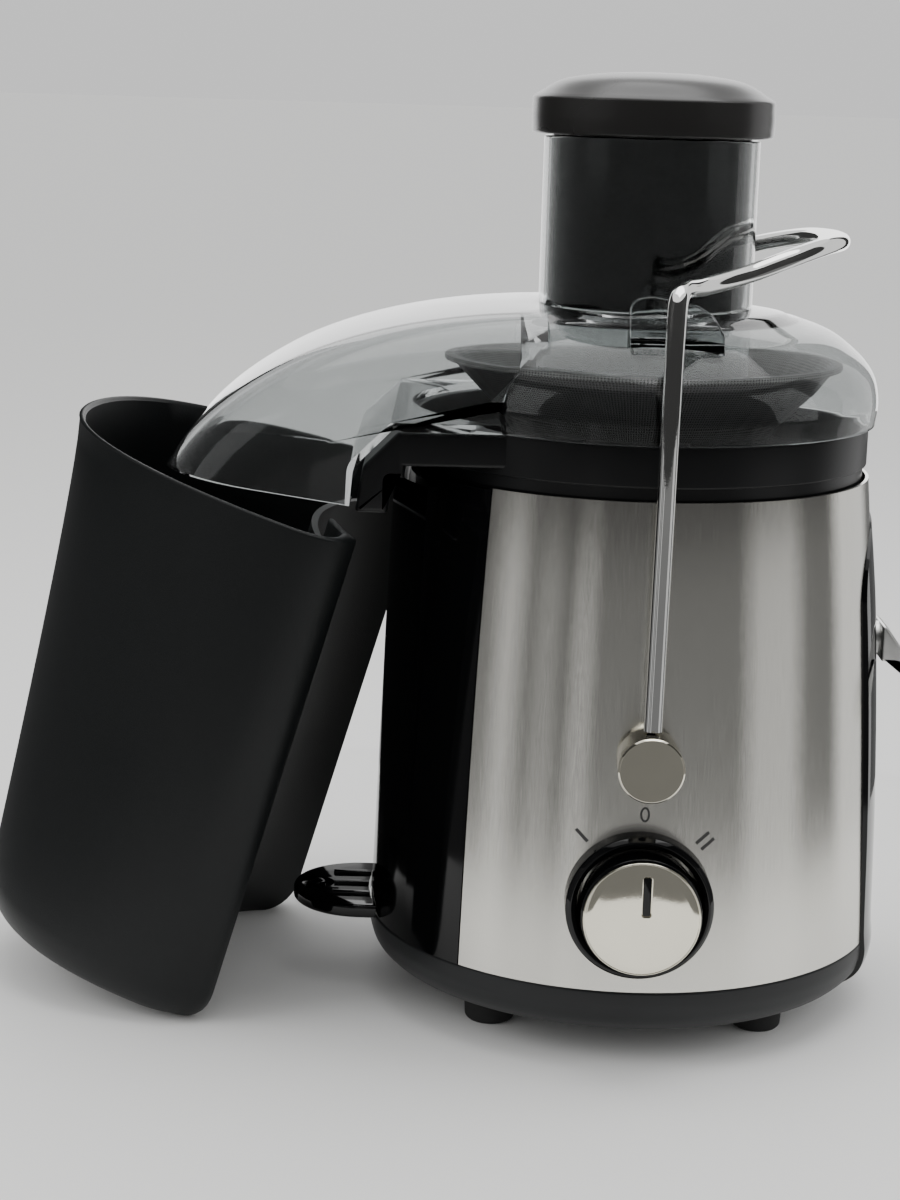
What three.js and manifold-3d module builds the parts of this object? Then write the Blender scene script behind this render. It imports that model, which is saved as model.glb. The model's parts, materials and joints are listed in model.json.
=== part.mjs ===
// A centrifugal juicer: a tapered steel-clad motor base, a juice collector, a clear lid with a feed
// tube and a curved pulp chute, a pusher, a wire locking arm, a rotary switch and a pulp container.
// Millimetres, +Z up, front towards -Y. The motor axis is the design's Z axis; the whole group is then
// moved so that the origin is the centre of the bounding box's base.
import * as THREE from "three";
import { mergeVertices } from "three/addons/utils/BufferGeometryUtils.js";
import Module from "manifold-3d";

const wasm = await Module();
wasm.setup();

// ---------------------------------------------------------------- driving dimensions
const GAP = 0.3; // between solids that touch
const ROUND = 40; // sides of the large turned shells
const SKIN_ROUND = 48; // sides of the body's outer skins
const SMALL_ROUND = 16; // sides of small turned pieces

const FOOT = { x: 53, y: 50, radius: 10.5, top: 12.2, chamfer: 1.5 };
const BASE_BOTTOM = 12.5;
const TRAY = { inner: 60, outer: 103.1, wall: 3.2, floorTop: 16 };
const PLATE = { top: 15.5, slotHalf: 2.5, slotPitch: 14, slotReach: 50, barHalf: 6 };
const STEEL_BOTTOM = 32.3;
const STEEL_TOP = 216.5;
const STEEL_THICKNESS = 1.2;
const HOUSING = { thickness: 2.5, deck: 4, deckTop: 200, seatHole: 11 };
// Outside radius of the tapered body at each height.
const WALL = [
  [STEEL_BOTTOM, 103],
  [70, 101.4],
  [121, 98.9],
  [165, 95.9],
  [STEEL_TOP, 91.4],
];
const NEST_ANGLE = 31; // half-angle of the panel that faces the pulp container
const STRIP_ANGLE = 50; // half-angle where the steel begins
const STRIP = { proud: 0.3, thickness: 1.5, seam: 0.25 }; // the seam is in degrees
const NEST_TOP = 213;
const SKIN_BACK = 1.2; // how far the inner faces of the side panels lie inside the wall radius
const ARCH = { halfWidth: 40, spring: 166, top: 201, bottom: BASE_BOTTOM, footRadius: 84 };

const COLLECTOR = { floor: 203, rimTop: 237, radius: 90.2, lipRadius: 88.8, chimney: 24 };
const BRACKET = { halfWidth: 72, reach: 110, noseBottom: 206.3, noseInner: 97.8 };

const LID_BOTTOM = COLLECTOR.rimTop + GAP;
const LID_WALL = 2.4;
// Outside profile of the lid's dome, radius and height.
const DOME = [
  [92.4, LID_BOTTOM],
  [93.2, 246],
  [91.5, 255],
  [87.9, 260.9],
  [82, 266.6],
  [73.7, 272.3],
  [61.6, 276.7],
  [42, 280.1],
];
const TUBE = { radius: 42, bore: 39.5, top: 345, skirt: 251 };
const CHUTE = { halfWidth: 74, edge: 31, outletLeft: 219, outletRight: 209 };
const LUG = { y: 72, thickness: 7 };

const PUSHER = { radius: 38.9, bottom: 280, top: 345.4, wall: 2.6 };
const CAP = { radius: 47.2, bottom: 345.8, edge: 360.7, top: 369.9 };

const ARM = { pivotX: 1.2, pivotZ: 122.5, wire: 3.5, bossRadius: 12.2, bossBack: 100.4,
  bossFace: 117.5, hole: 7.8, bush: 7.5, pin: 4 };
const KNOB = { z: 67, radius: 22.3, back: 104.6, front: 120.6, face: 2.6, bezel: 27.6, bezelFront: 109.5 };
const POINTER = { x: 1.5, halfWidth: 1.6, from: 1.3, to: 16.3 }; // from and to are above the knob's axis
const SWITCH = { half: 14, front: 90, back: 68, spindle: 4 };
const GLAND = { z: 52, neck: 6.6, sleeve: 9, bore: 3.6, from: 88, wall: 104.5, to: 120.6 };

const DUCT = { x: 72, radius: 12, bore: 9.6, bottom: 138 };
const SPOUT = { z: 148.5, stub: 6.6, bore: 4.6, halfWidth: 12, reach: 135 };

const SHAFT = { radius: 4, bottom: 20, top: 244 };
const CORE = { bottom: 92, top: 134, radius: 26, bore: 27.5, halfX: 46, halfY: 42 };
const COIL = { inner: 29, outer: 37.5, halfAngle: 46, window: 39.5, windowHalf: 52, bottom: 82, top: 146 };
const BRACKET_UPPER = { radius: 58, hub: 15, bottom: 172, top: 175, hubBottom: 160 };
const BRACKET_LOWER = { halfX: 14, halfY: 46, bottom: 40, top: 44, hubBottom: 38, hubTop: 48 };
const POST = { y: 36, half: 5 };
const BEARING = { radius: 11, height: 7, upper: 161, lower: 40.6 };
const BRUSH = { bottom: 58.6, top: 65.4, half: 3.4, from: 13.4, to: 31 };
const HOLDER = { bottom: 56, top: 68, half: 6, from: 16, to: 36 };
const DAMPER = { radius: 7, y: 46 };
const ARMATURE = { slots: 12, root: 17, rootHalf: 0.16, tipHalf: 0.2, windingFoot: 74, windingTop: 150 };
const COMMUTATOR = { radius: 13, bottom: 54, top: 71 };
const FAN = { blades: 9, hub: 9, bottom: 21, top: 34, radius: 38, plateBottom: 31, plateTop: 33 };
const COUPLING = { lobes: 6, radius: 13, lobe: 4, lobeAt: 12.5, bottom: 210, top: 232 };
const BASKET = { floor: 233, rim: 260, bottomRadius: 52, rimRadius: 77, wall: 1.4,
  socket: 17.4, socketOuter: 21 };
const GRATER = { radius: 46, bottom: 235.7, top: 237, boss: 10, bossTop: 243 };

// The pulp container: rim and floor heights, wall, and the radius of the side that wraps the body,
// all as it stands when docked. At rest it leans beside the body, turned about the lean line.
const BIN = { bottom: 0.5, rim: 208.5, wall: 2.6, nest: 105, notch: 198, notchHalf: 53 };
const BIN_POCKET = { halfWidth: 32, reach: 139, top: 39.5 };
const TAB = { halfWidth: 28, reach: 135, root: 96, bottom: 31.5, top: 37, pegX: 125, recess: 7, peg: 3.2 };
const TAB_RIDGE = { from: 97, to: 118, halfWidth: 1.5, pitch: 13, proud: 1.2 };
const LEAN = {
  point: new THREE.Vector3(-128.0, 0, 264.7),
  axis: new THREE.Vector3(0.0745, 0.851, -0.5199).normalize(),
  angle: THREE.MathUtils.degToRad(19.1),
};

// ---------------------------------------------------------------- finishes
const finish = (color, roughness, metalness, opacity = 1) =>
  new THREE.MeshStandardMaterial({ color, roughness, metalness, opacity, transparent: opacity < 1 });
const SATIN_BLACK = finish(0x1b1c1d, 0.45, 0);
const GLOSS_BLACK = finish(0x0c0c0d, 0.12, 0);
const MATTE_BLACK = finish(0x17191a, 0.62, 0);
const CHARCOAL = finish(0x2b2a29, 0.55, 0);
const STEEL = finish(0xb4b2ac, 0.3, 1);
const CHROME = finish(0xd8d8d6, 0.08, 1);
const SMOKE = finish(0x8d9596, 0.08, 0, 0.35);
const RUBBER = finish(0x1a1a1a, 0.85, 0);
const COPPER = finish(0xb06a3a, 0.35, 1);
const LAMINATION = finish(0x6d7073, 0.5, 1);
const BRASS = finish(0xc39a4c, 0.3, 1);
const CARBON = finish(0x2a2a2c, 0.7, 0);
const GREY_PLASTIC = finish(0x57595b, 0.5, 0);

// ---------------------------------------------------------------- shape helpers
const V2 = (x, y) => new THREE.Vector2(x, y);
const V3 = (x, y, z) => new THREE.Vector3(x, y, z);
const rad = THREE.MathUtils.degToRad;

// A closed geometry as a manifold-3d solid, faces outward.
function solid(geometry) {
  const plain = geometry.clone();
  plain.deleteAttribute("normal");
  plain.deleteAttribute("uv");
  const merged = mergeVertices(plain, 1e-4);
  const triVerts = new Uint32Array(merged.index.array);
  const vertProperties = new Float32Array(merged.attributes.position.array);
  const build = () => new wasm.Manifold(new wasm.Mesh({ numProp: 3, vertProperties, triVerts }));
  const made = build();
  if (made.volume() > 0) return made;
  for (let i = 0; i < triVerts.length; i += 3) {
    [triVerts[i], triVerts[i + 1]] = [triVerts[i + 1], triVerts[i]];
  }
  return build();
}

function geometryOf(made) {
  const mesh = made.getMesh();
  const geometry = new THREE.BufferGeometry();
  geometry.setAttribute("position", new THREE.BufferAttribute(mesh.vertProperties, 3));
  geometry.setIndex(new THREE.BufferAttribute(mesh.triVerts, 1));
  geometry.computeVertexNormals();
  return geometry;
}

const outward = (geometry) => geometryOf(solid(geometry));
const join = (first, ...rest) =>
  geometryOf(rest.reduce((sum, next) => sum.add(solid(next)), solid(first)));
const cut = (first, ...rest) =>
  geometryOf(rest.reduce((left, next) => left.subtract(solid(next)), solid(first)));
const common = (first, second) => geometryOf(solid(first).intersect(solid(second)));

// A profile of [radius, height] pairs turned about the Z axis.
function turned(profile, sides = ROUND) {
  const geometry = new THREE.LatheGeometry(profile.map(([r, z]) => V2(r, z)), sides);
  return outward(geometry.rotateX(Math.PI / 2));
}

// A ring whose profile closes on itself.
const ring = (profile, sides = ROUND) => turned([...profile, profile[0]], sides);

// A flat ring or disc between two heights.
const disc = (outer, z0, z1, sides = SMALL_ROUND) =>
  turned([[0, z0], [outer, z0], [outer, z1], [0, z1]], sides);
const washer = (inner, outer, z0, z1, sides = SMALL_ROUND) =>
  ring([[inner, z0], [outer, z0], [outer, z1], [inner, z1]], sides);

const block = (x0, x1, y0, y1, z0, z1) =>
  new THREE.BoxGeometry(x1 - x0, y1 - y0, z1 - z0).translate((x0 + x1) / 2, (y0 + y1) / 2, (z0 + z1) / 2);

// A cylinder between two points.
function rod(from, to, radius, sides = SMALL_ROUND, endRadius = radius) {
  const along = to.clone().sub(from);
  const geometry = new THREE.CylinderGeometry(endRadius, radius, along.length(), sides);
  const turn = new THREE.Quaternion().setFromUnitVectors(V3(0, 1, 0), along.clone().normalize());
  const middle = from.clone().add(to).multiplyScalar(0.5);
  return geometry.applyQuaternion(turn).translate(middle.x, middle.y, middle.z);
}

// An outline in the XY plane raised from z0 to z1.
const raised = (shape, z0, z1, options = {}) =>
  new THREE.ExtrudeGeometry(shape, { depth: z1 - z0, bevelEnabled: false, ...options }).translate(0, 0, z0);

// An outline of [x, z] pairs given thickness along Y.
const sideSlab = (outline, y0, y1) =>
  raised(new THREE.Shape(outline.map(([x, z]) => V2(x, z))), -y1, -y0).rotateX(Math.PI / 2);

// A prism over the angles a0 to a1, in degrees from -X towards -Y, out to a radius past the body.
function sector(a0, a1, z0, z1) {
  const far = 150;
  const at = (a) => V2(-far * Math.cos(rad(a)), -far * Math.sin(rad(a)));
  const steps = Math.ceil((a1 - a0) / 20);
  const rim = Array.from({ length: steps + 1 }, (_, i) => at(a0 + ((a1 - a0) * i) / steps));
  return raised(new THREE.Shape([V2(0, 0), ...rim]), z0, z1);
}

function wallRadius(z) {
  const upper = Math.max(1, WALL.findIndex(([height]) => height >= z));
  const [[z0, r0], [z1, r1]] = [WALL[upper - 1], WALL[upper]];
  return r0 + ((r1 - r0) * (z - z0)) / (z1 - z0);
}

// A ring that follows the body's wall from z0 to z1, from an inset out to a bulge.
function wallRing(inset, thickness, z0, z1, sides = ROUND) {
  const heights = [z0, ...WALL.map(([z]) => z).filter((z) => z > z0 + 1 && z < z1 - 1), z1];
  const at = (depth) => heights.map((z) => [wallRadius(z) - depth, z]);
  return ring([...at(inset), ...at(inset + thickness).reverse()], sides);
}

// The arch of the spout side, as a prism along X, grown by a margin.
function archPrism(margin) {
  const half = ARCH.halfWidth + margin;
  const outline = new THREE.Shape();
  outline.moveTo(-half, ARCH.bottom - margin);
  outline.lineTo(half, ARCH.bottom - margin);
  outline.lineTo(half, ARCH.spring);
  outline.absellipse(0, ARCH.spring, half, ARCH.top + margin - ARCH.spring, 0, Math.PI);
  const reach = [60, 130];
  const prism = raised(outline, reach[0], reach[1], { curveSegments: 8 });
  return prism.applyMatrix4(new THREE.Matrix4().set(0, 0, 1, 0, 1, 0, 0, 0, 0, 1, 0, 0, 0, 0, 0, 1));
}

// A closed skin over convex loops of equal length, each a list of [x, y, z], capped at both ends.
function lofted(loops) {
  const count = loops[0].length;
  const last = count * (loops.length - 1);
  const index = [];
  for (let k = 1; k < count - 1; k++) {
    index.push(0, k, k + 1, last, last + k + 1, last + k);
  }
  for (let i = 0; i < last; i += count) {
    for (let k = 0; k < count; k++) {
      const next = (k + 1) % count;
      index.push(i + k, i + count + k, i + next, i + next, i + count + k, i + count + next);
    }
  }
  const geometry = new THREE.BufferGeometry();
  geometry.setAttribute("position", new THREE.Float32BufferAttribute(loops.flat(2), 3));
  return geometry.setIndex(index);
}

const tubeAlong = (points, radius, steps, sides = 10) => {
  const section = new THREE.Shape();
  section.absarc(0, 0, radius, 0, 2 * Math.PI);
  const extrudePath = new THREE.CatmullRomCurve3(points, false, "centripetal");
  return outward(
    new THREE.ExtrudeGeometry(section, { steps, extrudePath, curveSegments: sides, bevelEnabled: false }),
  );
};

const alongY = (y0, y1, x, z, radius, sides) => rod(V3(x, y0, z), V3(x, y1, z), radius, sides);

// ---------------------------------------------------------------- scene graph
const juicer = new THREE.Group();

function part(name, geometry, material, parent = juicer) {
  const mesh = new THREE.Mesh(geometry, material);
  mesh.name = name;
  parent.add(mesh);
  return mesh;
}

function group(parent = juicer) {
  const made = new THREE.Group();
  parent.add(made);
  return made;
}

// ---------------------------------------------------------------- base and body
function makeBase() {
  const { inner, outer, wall, floorTop } = TRAY;
  const top = STEEL_BOTTOM - GAP;
  const tray = ring([
    [inner, BASE_BOTTOM],
    [88, BASE_BOTTOM],
    [96.5, 15],
    [101.3, 19.5],
    [outer, 26],
    [outer, top],
    [outer - wall, top],
    [outer - wall, 21],
    [95, floorTop],
    [inner, floorTop],
  ]);
  const archFoot = washer(ARCH.footRadius, outer + 7, BASE_BOTTOM - 1, STEEL_BOTTOM + 1, ROUND);
  part("base_tray", cut(tray, common(archFoot, archPrism(GAP))), SATIN_BLACK);

  const crossBar = block(-inner, inner, -PLATE.barHalf, PLATE.barHalf, BASE_BOTTOM - 2, PLATE.top + 2);
  const slots = [-2.5, -1.5, -0.5, 0.5, 1.5, 2.5].map((step) => {
    const x = step * PLATE.slotPitch;
    const half = Math.sqrt(PLATE.slotReach ** 2 - x * x);
    const slot = block(x - PLATE.slotHalf, x + PLATE.slotHalf, -half, half, BASE_BOTTOM - 1, PLATE.top + 1);
    return cut(slot, crossBar);
  });
  part("base_plate", cut(disc(inner - GAP, BASE_BOTTOM, PLATE.top, ROUND), ...slots), SATIN_BLACK);

  const { radius, chamfer } = FOOT;
  const foot = [[0, 0], [radius - chamfer, 0], [radius, chamfer], [radius, FOOT.top], [0, FOOT.top]];
  const corners = { front_left: [-1, -1], front_right: [1, -1], rear_left: [-1, 1], rear_right: [1, 1] };
  for (const [corner, [sx, sy]] of Object.entries(corners)) {
    part(`foot_${corner}`, turned(foot, 20), RUBBER).position.set(sx * FOOT.x, sy * FOOT.y, 0);
  }
}

// The shelf on the left that the docked pulp container stands over, ridged, with a locating peg.
function makeSupportTab() {
  const { halfWidth, reach, root, bottom, top, pegX, recess, peg } = TAB;
  const endX = halfWidth - reach;
  const outline = new THREE.Shape();
  outline.moveTo(-root, -halfWidth);
  outline.lineTo(-root, halfWidth);
  outline.lineTo(endX, halfWidth);
  outline.absarc(endX, 0, halfWidth, Math.PI / 2, (3 * Math.PI) / 2);
  const plate = raised(outline, bottom, top, { curveSegments: 10 });
  const ridges = [-1, 0, 1].map((step) => {
    const y = step * TAB_RIDGE.pitch;
    const [y0, y1] = [y - TAB_RIDGE.halfWidth, y + TAB_RIDGE.halfWidth];
    return block(-TAB_RIDGE.to, -TAB_RIDGE.from, y0, y1, top - 1, top + TAB_RIDGE.proud);
  });
  const dish = disc(recess, top - 1.6, top + 2).translate(-pegX, 0, 0);
  const stud = disc(peg, top - 3, top + 0.8).translate(-pegX, 0, 0);
  const body = turned([[0, 20], [103.9, 20], [103.9, STEEL_BOTTOM], [102.9, 60], [0, 60]]);
  part("support_tab", cut(join(cut(join(plate, ...ridges), dish), stud), body), SATIN_BLACK);
}

// The inner face of a side panel, from a top height down to a bottom one.
function skinBack(top, bottom) {
  const heights = [top, ...WALL.map(([z]) => z).filter((z) => z < top - 1 && z > bottom + 1).reverse()];
  return heights.map((z) => [wallRadius(z) - SKIN_BACK, z]);
}

function makeSkins() {
  const wallHoles = [
    alongY(-120, -80, 0, KNOB.z, 6),
    alongY(-120, -80, ARM.pivotX, ARM.pivotZ, ARM.hole),
    alongY(80, 120, ARM.pivotX, ARM.pivotZ, ARM.hole),
    alongY(80, 120, 0, GLAND.z, GLAND.neck + 0.4),
  ];
  const openSide = sector(-STRIP_ANGLE, STRIP_ANGLE, 0, 300);
  const steel = wallRing(0, STEEL_THICKNESS, STEEL_BOTTOM, STEEL_TOP, SKIN_ROUND);
  part("steel_band", cut(steel, openSide, archPrism(GAP), ...wallHoles), STEEL);

  const { proud, thickness, seam } = STRIP;
  const strip = wallRing(-proud, thickness, STEEL_BOTTOM, STEEL_TOP, SKIN_ROUND);
  const front = sector(NEST_ANGLE + seam, STRIP_ANGLE - seam, 0, 300);
  const rear = sector(-STRIP_ANGLE + seam, -NEST_ANGLE - seam, 0, 300);
  part("left_strip_front", common(strip, front), GLOSS_BLACK);
  part("left_strip_rear", common(strip, rear), GLOSS_BLACK);

  const nest = ring([
    [wallRadius(STEEL_BOTTOM) - SKIN_BACK, STEEL_BOTTOM],
    [102.8, STEEL_BOTTOM],
    [102, 55],
    [100.2, 116],
    [99, 158],
    [97.6, 200],
    [97, NEST_TOP],
    ...skinBack(NEST_TOP, STEEL_BOTTOM),
  ], SKIN_ROUND);
  part("left_panel", common(nest, sector(-NEST_ANGLE, NEST_ANGLE, 0, 300)), GLOSS_BLACK);

  const arch = ring([
    [ARCH.footRadius + GAP, ARCH.bottom],
    [89, ARCH.bottom],
    [97.6, 15],
    [102.6, 19.5],
    [104.6, 26],
    [104, 36],
    [102.7, 79],
    [100.6, 122],
    [97.7, 164],
    [95.6, 184],
    [93.5, ARCH.top],
    ...skinBack(ARCH.top, STEEL_BOTTOM),
    [wallRadius(STEEL_BOTTOM) - SKIN_BACK, STEEL_BOTTOM + 1],
    [100.3, 22],
    [95, 17],
    [ARCH.footRadius + GAP, 16],
  ], SKIN_ROUND);
  part("spout_panel", cut(common(arch, archPrism(0)), spoutHole()), GLOSS_BLACK);

  const inset = STEEL_THICKNESS + GAP;
  const { deckTop } = HOUSING;
  const shell = wallRing(inset, HOUSING.thickness, STEEL_BOTTOM + 1, deckTop, 32);
  const deck = disc(wallRadius(deckTop) - inset - 1, deckTop - HOUSING.deck, deckTop, 32);
  const hole = (radius) => disc(radius, deckTop - HOUSING.deck - 2, deckTop + 2);
  const ductHole = hole(DUCT.radius + GAP).translate(DUCT.x, 0, 0);
  const housing = cut(join(shell, deck), ductHole, hole(HOUSING.seatHole), spoutHole(), ...wallHoles);
  part("motor_housing", housing, GREY_PLASTIC);
}

// ---------------------------------------------------------------- juice collector, duct and spout
function makeCollector() {
  const { floor, rimTop, radius, lipRadius, chimney } = COLLECTOR;
  const bowl = ring([
    [chimney, floor],
    [80, floor],
    [86.8, 210],
    [lipRadius, 217],
    [lipRadius, 221.5],
    [radius, 221.5],
    [radius, rimTop],
    [87.4, rimTop],
    [87.4, 224],
    [84.6, 212],
    [79, floor + 3],
    [chimney + 3, floor + 3],
    [chimney + 3, 222],
    [chimney, 222],
  ]);
  const hook = sideSlab([
    [-50, rimTop],
    [-94.4, rimTop],
    [-107.4, 223.8],
    [-BRACKET.reach, BRACKET.noseBottom],
    [-BRACKET.noseInner, BRACKET.noseBottom],
    [-BRACKET.noseInner, 219.4],
    [-91.8, 219.4],
    [-91.8, 224],
    [-50, 224],
  ], -BRACKET.halfWidth, BRACKET.halfWidth);
  const inside = disc(88.5, 190, 250, ROUND);
  const outlet = disc(DUCT.bore, 195, 210).translate(DUCT.x, 0, 0);
  part("juice_collector", cut(join(bowl, cut(hook, inside)), outlet), SATIN_BLACK);
}

const spoutHole = () => rod(V3(78, 0, SPOUT.z), V3(112, 0, SPOUT.z), SPOUT.stub + GAP);

// A well under the collector's outlet, the stub that leads out through the wall, and an open trough.
function makeJuiceway() {
  const top = COLLECTOR.floor - GAP;
  const well = cut(
    disc(DUCT.radius, DUCT.bottom, top).translate(DUCT.x, 0, 0),
    disc(DUCT.bore, DUCT.bottom + 2.4, top + 5).translate(DUCT.x, 0, 0),
    rod(V3(DUCT.x, 0, SPOUT.z), V3(100, 0, SPOUT.z), SPOUT.bore),
  );
  part("juice_duct", well, SATIN_BLACK);

  const trough = sideSlab([
    [100.6, 141],
    [100.6, 156.3],
    [103.5, 154],
    [110, 145],
    [SPOUT.reach, 116.5],
    [SPOUT.reach, 109.5],
    [112, 136],
    [107.8, 140.6],
  ], -SPOUT.halfWidth, SPOUT.halfWidth);
  const channel = sideSlab([
    [102.8, 143.4],
    [102.8, 151.8],
    [107, 150],
    [116, 160],
    [160, 120],
    [160, 85],
    [112.9, 138.4],
    [108.7, 143],
  ], 2 - SPOUT.halfWidth, SPOUT.halfWidth - 2);
  const stub = rod(V3(70, 0, SPOUT.z), V3(102, 0, SPOUT.z), SPOUT.stub);
  const bore = rod(V3(60, 0, SPOUT.z), V3(104, 0, SPOUT.z), SPOUT.bore);
  const clear = disc(DUCT.radius + GAP, 100, 220).translate(DUCT.x, 0, 0);
  const behindWell = block(50, DUCT.x, -20, 20, 130, 170);
  part("juice_spout", cut(join(trough, stub), channel, bore, clear, behindWell), GREY_PLASTIC);
}

// ---------------------------------------------------------------- lid
// The chute's side outline, from the dome along its top to its tip, drawn in by a wall thickness.
function chuteOutline(wall) {
  const outline = new THREE.Path();
  outline.moveTo(-30, 280.4);
  outline.bezierCurveTo(-75, 280.6, -112, 272.2, -137, 259.6);
  outline.bezierCurveTo(-160, 247.5, -178, 232, -184.6, 216);
  outline.lineTo(-211.8, 150);
  outline.lineTo(-30, 150);
  return drawnIn(outline.getPoints(6), wall);
}

// An anticlockwise outline with every side moved inwards by a depth.
function drawnIn(outline, depth) {
  return outline.map((here, i) => {
    const before = here.clone().sub(outline.at(i - 1)).normalize();
    const after = outline[(i + 1) % outline.length].clone().sub(here).normalize();
    const share = depth / (1 + before.dot(after));
    return V2(here.x - share * (before.y + after.y), here.y + share * (before.x + after.x));
  });
}

// The chute with rounded shoulders, kept inside a side outline that shapes its underside.
function chuteSolid(wall, underside) {
  const outline = chuteOutline(wall);
  const half = CHUTE.halfWidth - wall;
  const edge = CHUTE.edge - wall;
  const quarter = [0, 22.5, 45, 67.5, 90].map(rad);
  const front = quarter.map((a) => [edge * (1 - Math.cos(a)) - half, edge * (1 - Math.sin(a))]);
  const rear = front.map(([y, depth]) => [-y, depth]).reverse();
  const loops = [...front, ...rear].map(([y, depth]) => drawnIn(outline, depth).map((p) => [p.x, y, p.y]));
  return common(lofted(loops), sideSlab(underside, -80, 80));
}

function makeLid() {
  const { outletLeft, outletRight } = CHUTE;
  const outer = chuteSolid(0, [
    [-200, 300],
    [-200, outletLeft + 1],
    [-185, outletLeft],
    [-112, outletRight],
    [-110.8, 223.4],
    [-96.2, 238.2],
    [-92, LID_BOTTOM],
    [-40, LID_BOTTOM],
    [-40, 300],
  ]);
  const inner = chuteSolid(LID_WALL, [
    [-200, 300],
    [-200, outletLeft - 20],
    [-112 - LID_WALL, outletRight - 20],
    [-110.8 - LID_WALL, 224.4],
    [-97.2, LID_BOTTOM + 3],
    [-50, LID_BOTTOM + 3],
    [-50, 300],
  ]);
  const domeOuter = turned([[0, LID_BOTTOM], ...DOME, [0, 281]], SKIN_ROUND);
  const domeInner = turned([
    [0, LID_BOTTOM - 2],
    [DOME[0][0] - LID_WALL, LID_BOTTOM - 2],
    ...DOME.slice(1).map(([r, z]) => [r - LID_WALL * 0.9, z - LID_WALL * 0.75]),
    [0, 281 - LID_WALL],
  ]);
  const lugOutline = [
    [-10, 266],
    [-10.8, 286.4],
    [-8, 288.9],
    [-2.6, 289.8],
    [13.9, 286.8],
    [19.4, 283.6],
    [24, 276.4],
    [24.3, 266],
  ];
  const lugs = [-1, 1].map((side) =>
    sideSlab(lugOutline, side * LUG.y - LUG.thickness / 2, side * LUG.y + LUG.thickness / 2),
  );
  const notch = armCurve(ARM.wire + GAP + 0.2);
  const tubeHole = disc(TUBE.radius + GAP, TUBE.skirt - 5, TUBE.top + 5, ROUND);
  part("lid", cut(join(domeOuter, outer, ...lugs), domeInner, inner, tubeHole, notch), SMOKE);
  part("feed_tube", washer(TUBE.bore, TUBE.radius, TUBE.skirt, TUBE.top, ROUND), SMOKE);
}

// ---------------------------------------------------------------- pusher
function makePusher() {
  const { radius, bottom, top, wall } = PUSHER;
  const cup = turned([
    [0, bottom],
    [radius - 3, bottom],
    [radius - 0.8, bottom + 1],
    [radius, bottom + 4],
    [radius, top],
    [radius - wall, top],
    [radius - wall, bottom + wall],
    [0, bottom + wall],
  ], ROUND);
  part("pusher_body", cup, GLOSS_BLACK);
  const cap = turned([
    [0, CAP.bottom],
    [CAP.radius - 0.8, CAP.bottom],
    [CAP.radius, CAP.bottom + 0.8],
    [CAP.radius, CAP.edge - 2],
    [CAP.radius - 2, CAP.edge],
    [36, 366.2],
    [20, CAP.top - 0.8],
    [0, CAP.top],
  ], ROUND);
  part("pusher_cap", cap, CHARCOAL);
}

// ---------------------------------------------------------------- locking arm
// Half of the wire, from the front boss to the tip of its loop; the rear half mirrors it.
const ARM_HALF = [
  V3(1.8, -107, ARM.pivotZ + ARM.bossRadius + 0.4),
  V3(2.2, -106, 170),
  V3(3, -104, 230),
  V3(3.6, -102.6, 281),
  V3(4.4, -99.5, 291),
  V3(7, -92.5, 293.7),
  V3(15, -77, 294),
  V3(34, -56, 297.6),
  V3(52, -44, 303.4),
  V3(66, -29, 307),
  V3(73.6, -13, 307.6),
];

function armCurve(radius) {
  const rear = ARM_HALF.map((p) => V3(p.x, -p.y, p.z)).reverse();
  return tubeAlong([...ARM_HALF, V3(75.4, 0, 307.4), ...rear], radius, 46, 4);
}

function makeArm() {
  const arm = group();
  part("arm_wire", armCurve(ARM.wire), CHROME, arm);
  for (const [end, side] of [["front", -1], ["rear", 1]]) {
    const at = (y0, y1, radius, sides) => alongY(side * y0, side * y1, ARM.pivotX, ARM.pivotZ, radius, sides);
    part(`arm_boss_${end}`, outward(at(ARM.bossBack, ARM.bossFace, ARM.bossRadius, 32)), CHROME, arm);
    part(`arm_pin_${end}`, outward(at(84, ARM.bossBack - GAP, ARM.pin, 16)), STEEL, arm);
    const bush = cut(at(92, ARM.bossBack - GAP, ARM.bush, 20), at(90, 104, ARM.pin + GAP, 16));
    part(`arm_bush_${end}`, bush, GREY_PLASTIC);
  }
}

// ---------------------------------------------------------------- speed knob
function makeKnob() {
  const { z, radius, back, front, bezel, bezelFront } = KNOB;
  const faceBack = front - KNOB.face;
  const clad = wallRing(-GAP, 60, 34, 110, SKIN_ROUND);
  const shroud = cut(
    alongY(-94, -bezelFront, 0, z, bezel, ROUND),
    alongY(-90, -bezelFront - 5, 0, z, radius + 0.8, ROUND),
    clad,
  );
  part("knob_bezel", shroud, GLOSS_BLACK);
  const knob = group();
  part("knob_body", outward(alongY(-back, GAP - faceBack, 0, z, radius, 32)), GLOSS_BLACK, knob);
  const { x, halfWidth, from, to } = POINTER;
  const bar = (grow, y0, y1) =>
    block(x - halfWidth - grow, x + halfWidth + grow, y0, y1, z + from - grow, z + to + grow);
  const face = cut(alongY(-faceBack, -front, 0, z, radius - 0.6, 32), bar(GAP, -front - 2, 0.9 - faceBack));
  part("knob_face", face, CHROME, knob);
  part("knob_pointer", bar(0, GAP - front, -faceBack - GAP), GLOSS_BLACK, knob);
  const { half, spindle } = SWITCH;
  const body = block(-half, half, -SWITCH.front, -SWITCH.back, z - half, z + half);
  const stem = alongY(GAP - back, 2 - SWITCH.front, 0, z, spindle, 16);
  part("rotary_switch", join(body, stem), GREY_PLASTIC);
}

// ---------------------------------------------------------------- motor
const SIDES = [["left", -1], ["right", 1]];

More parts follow.
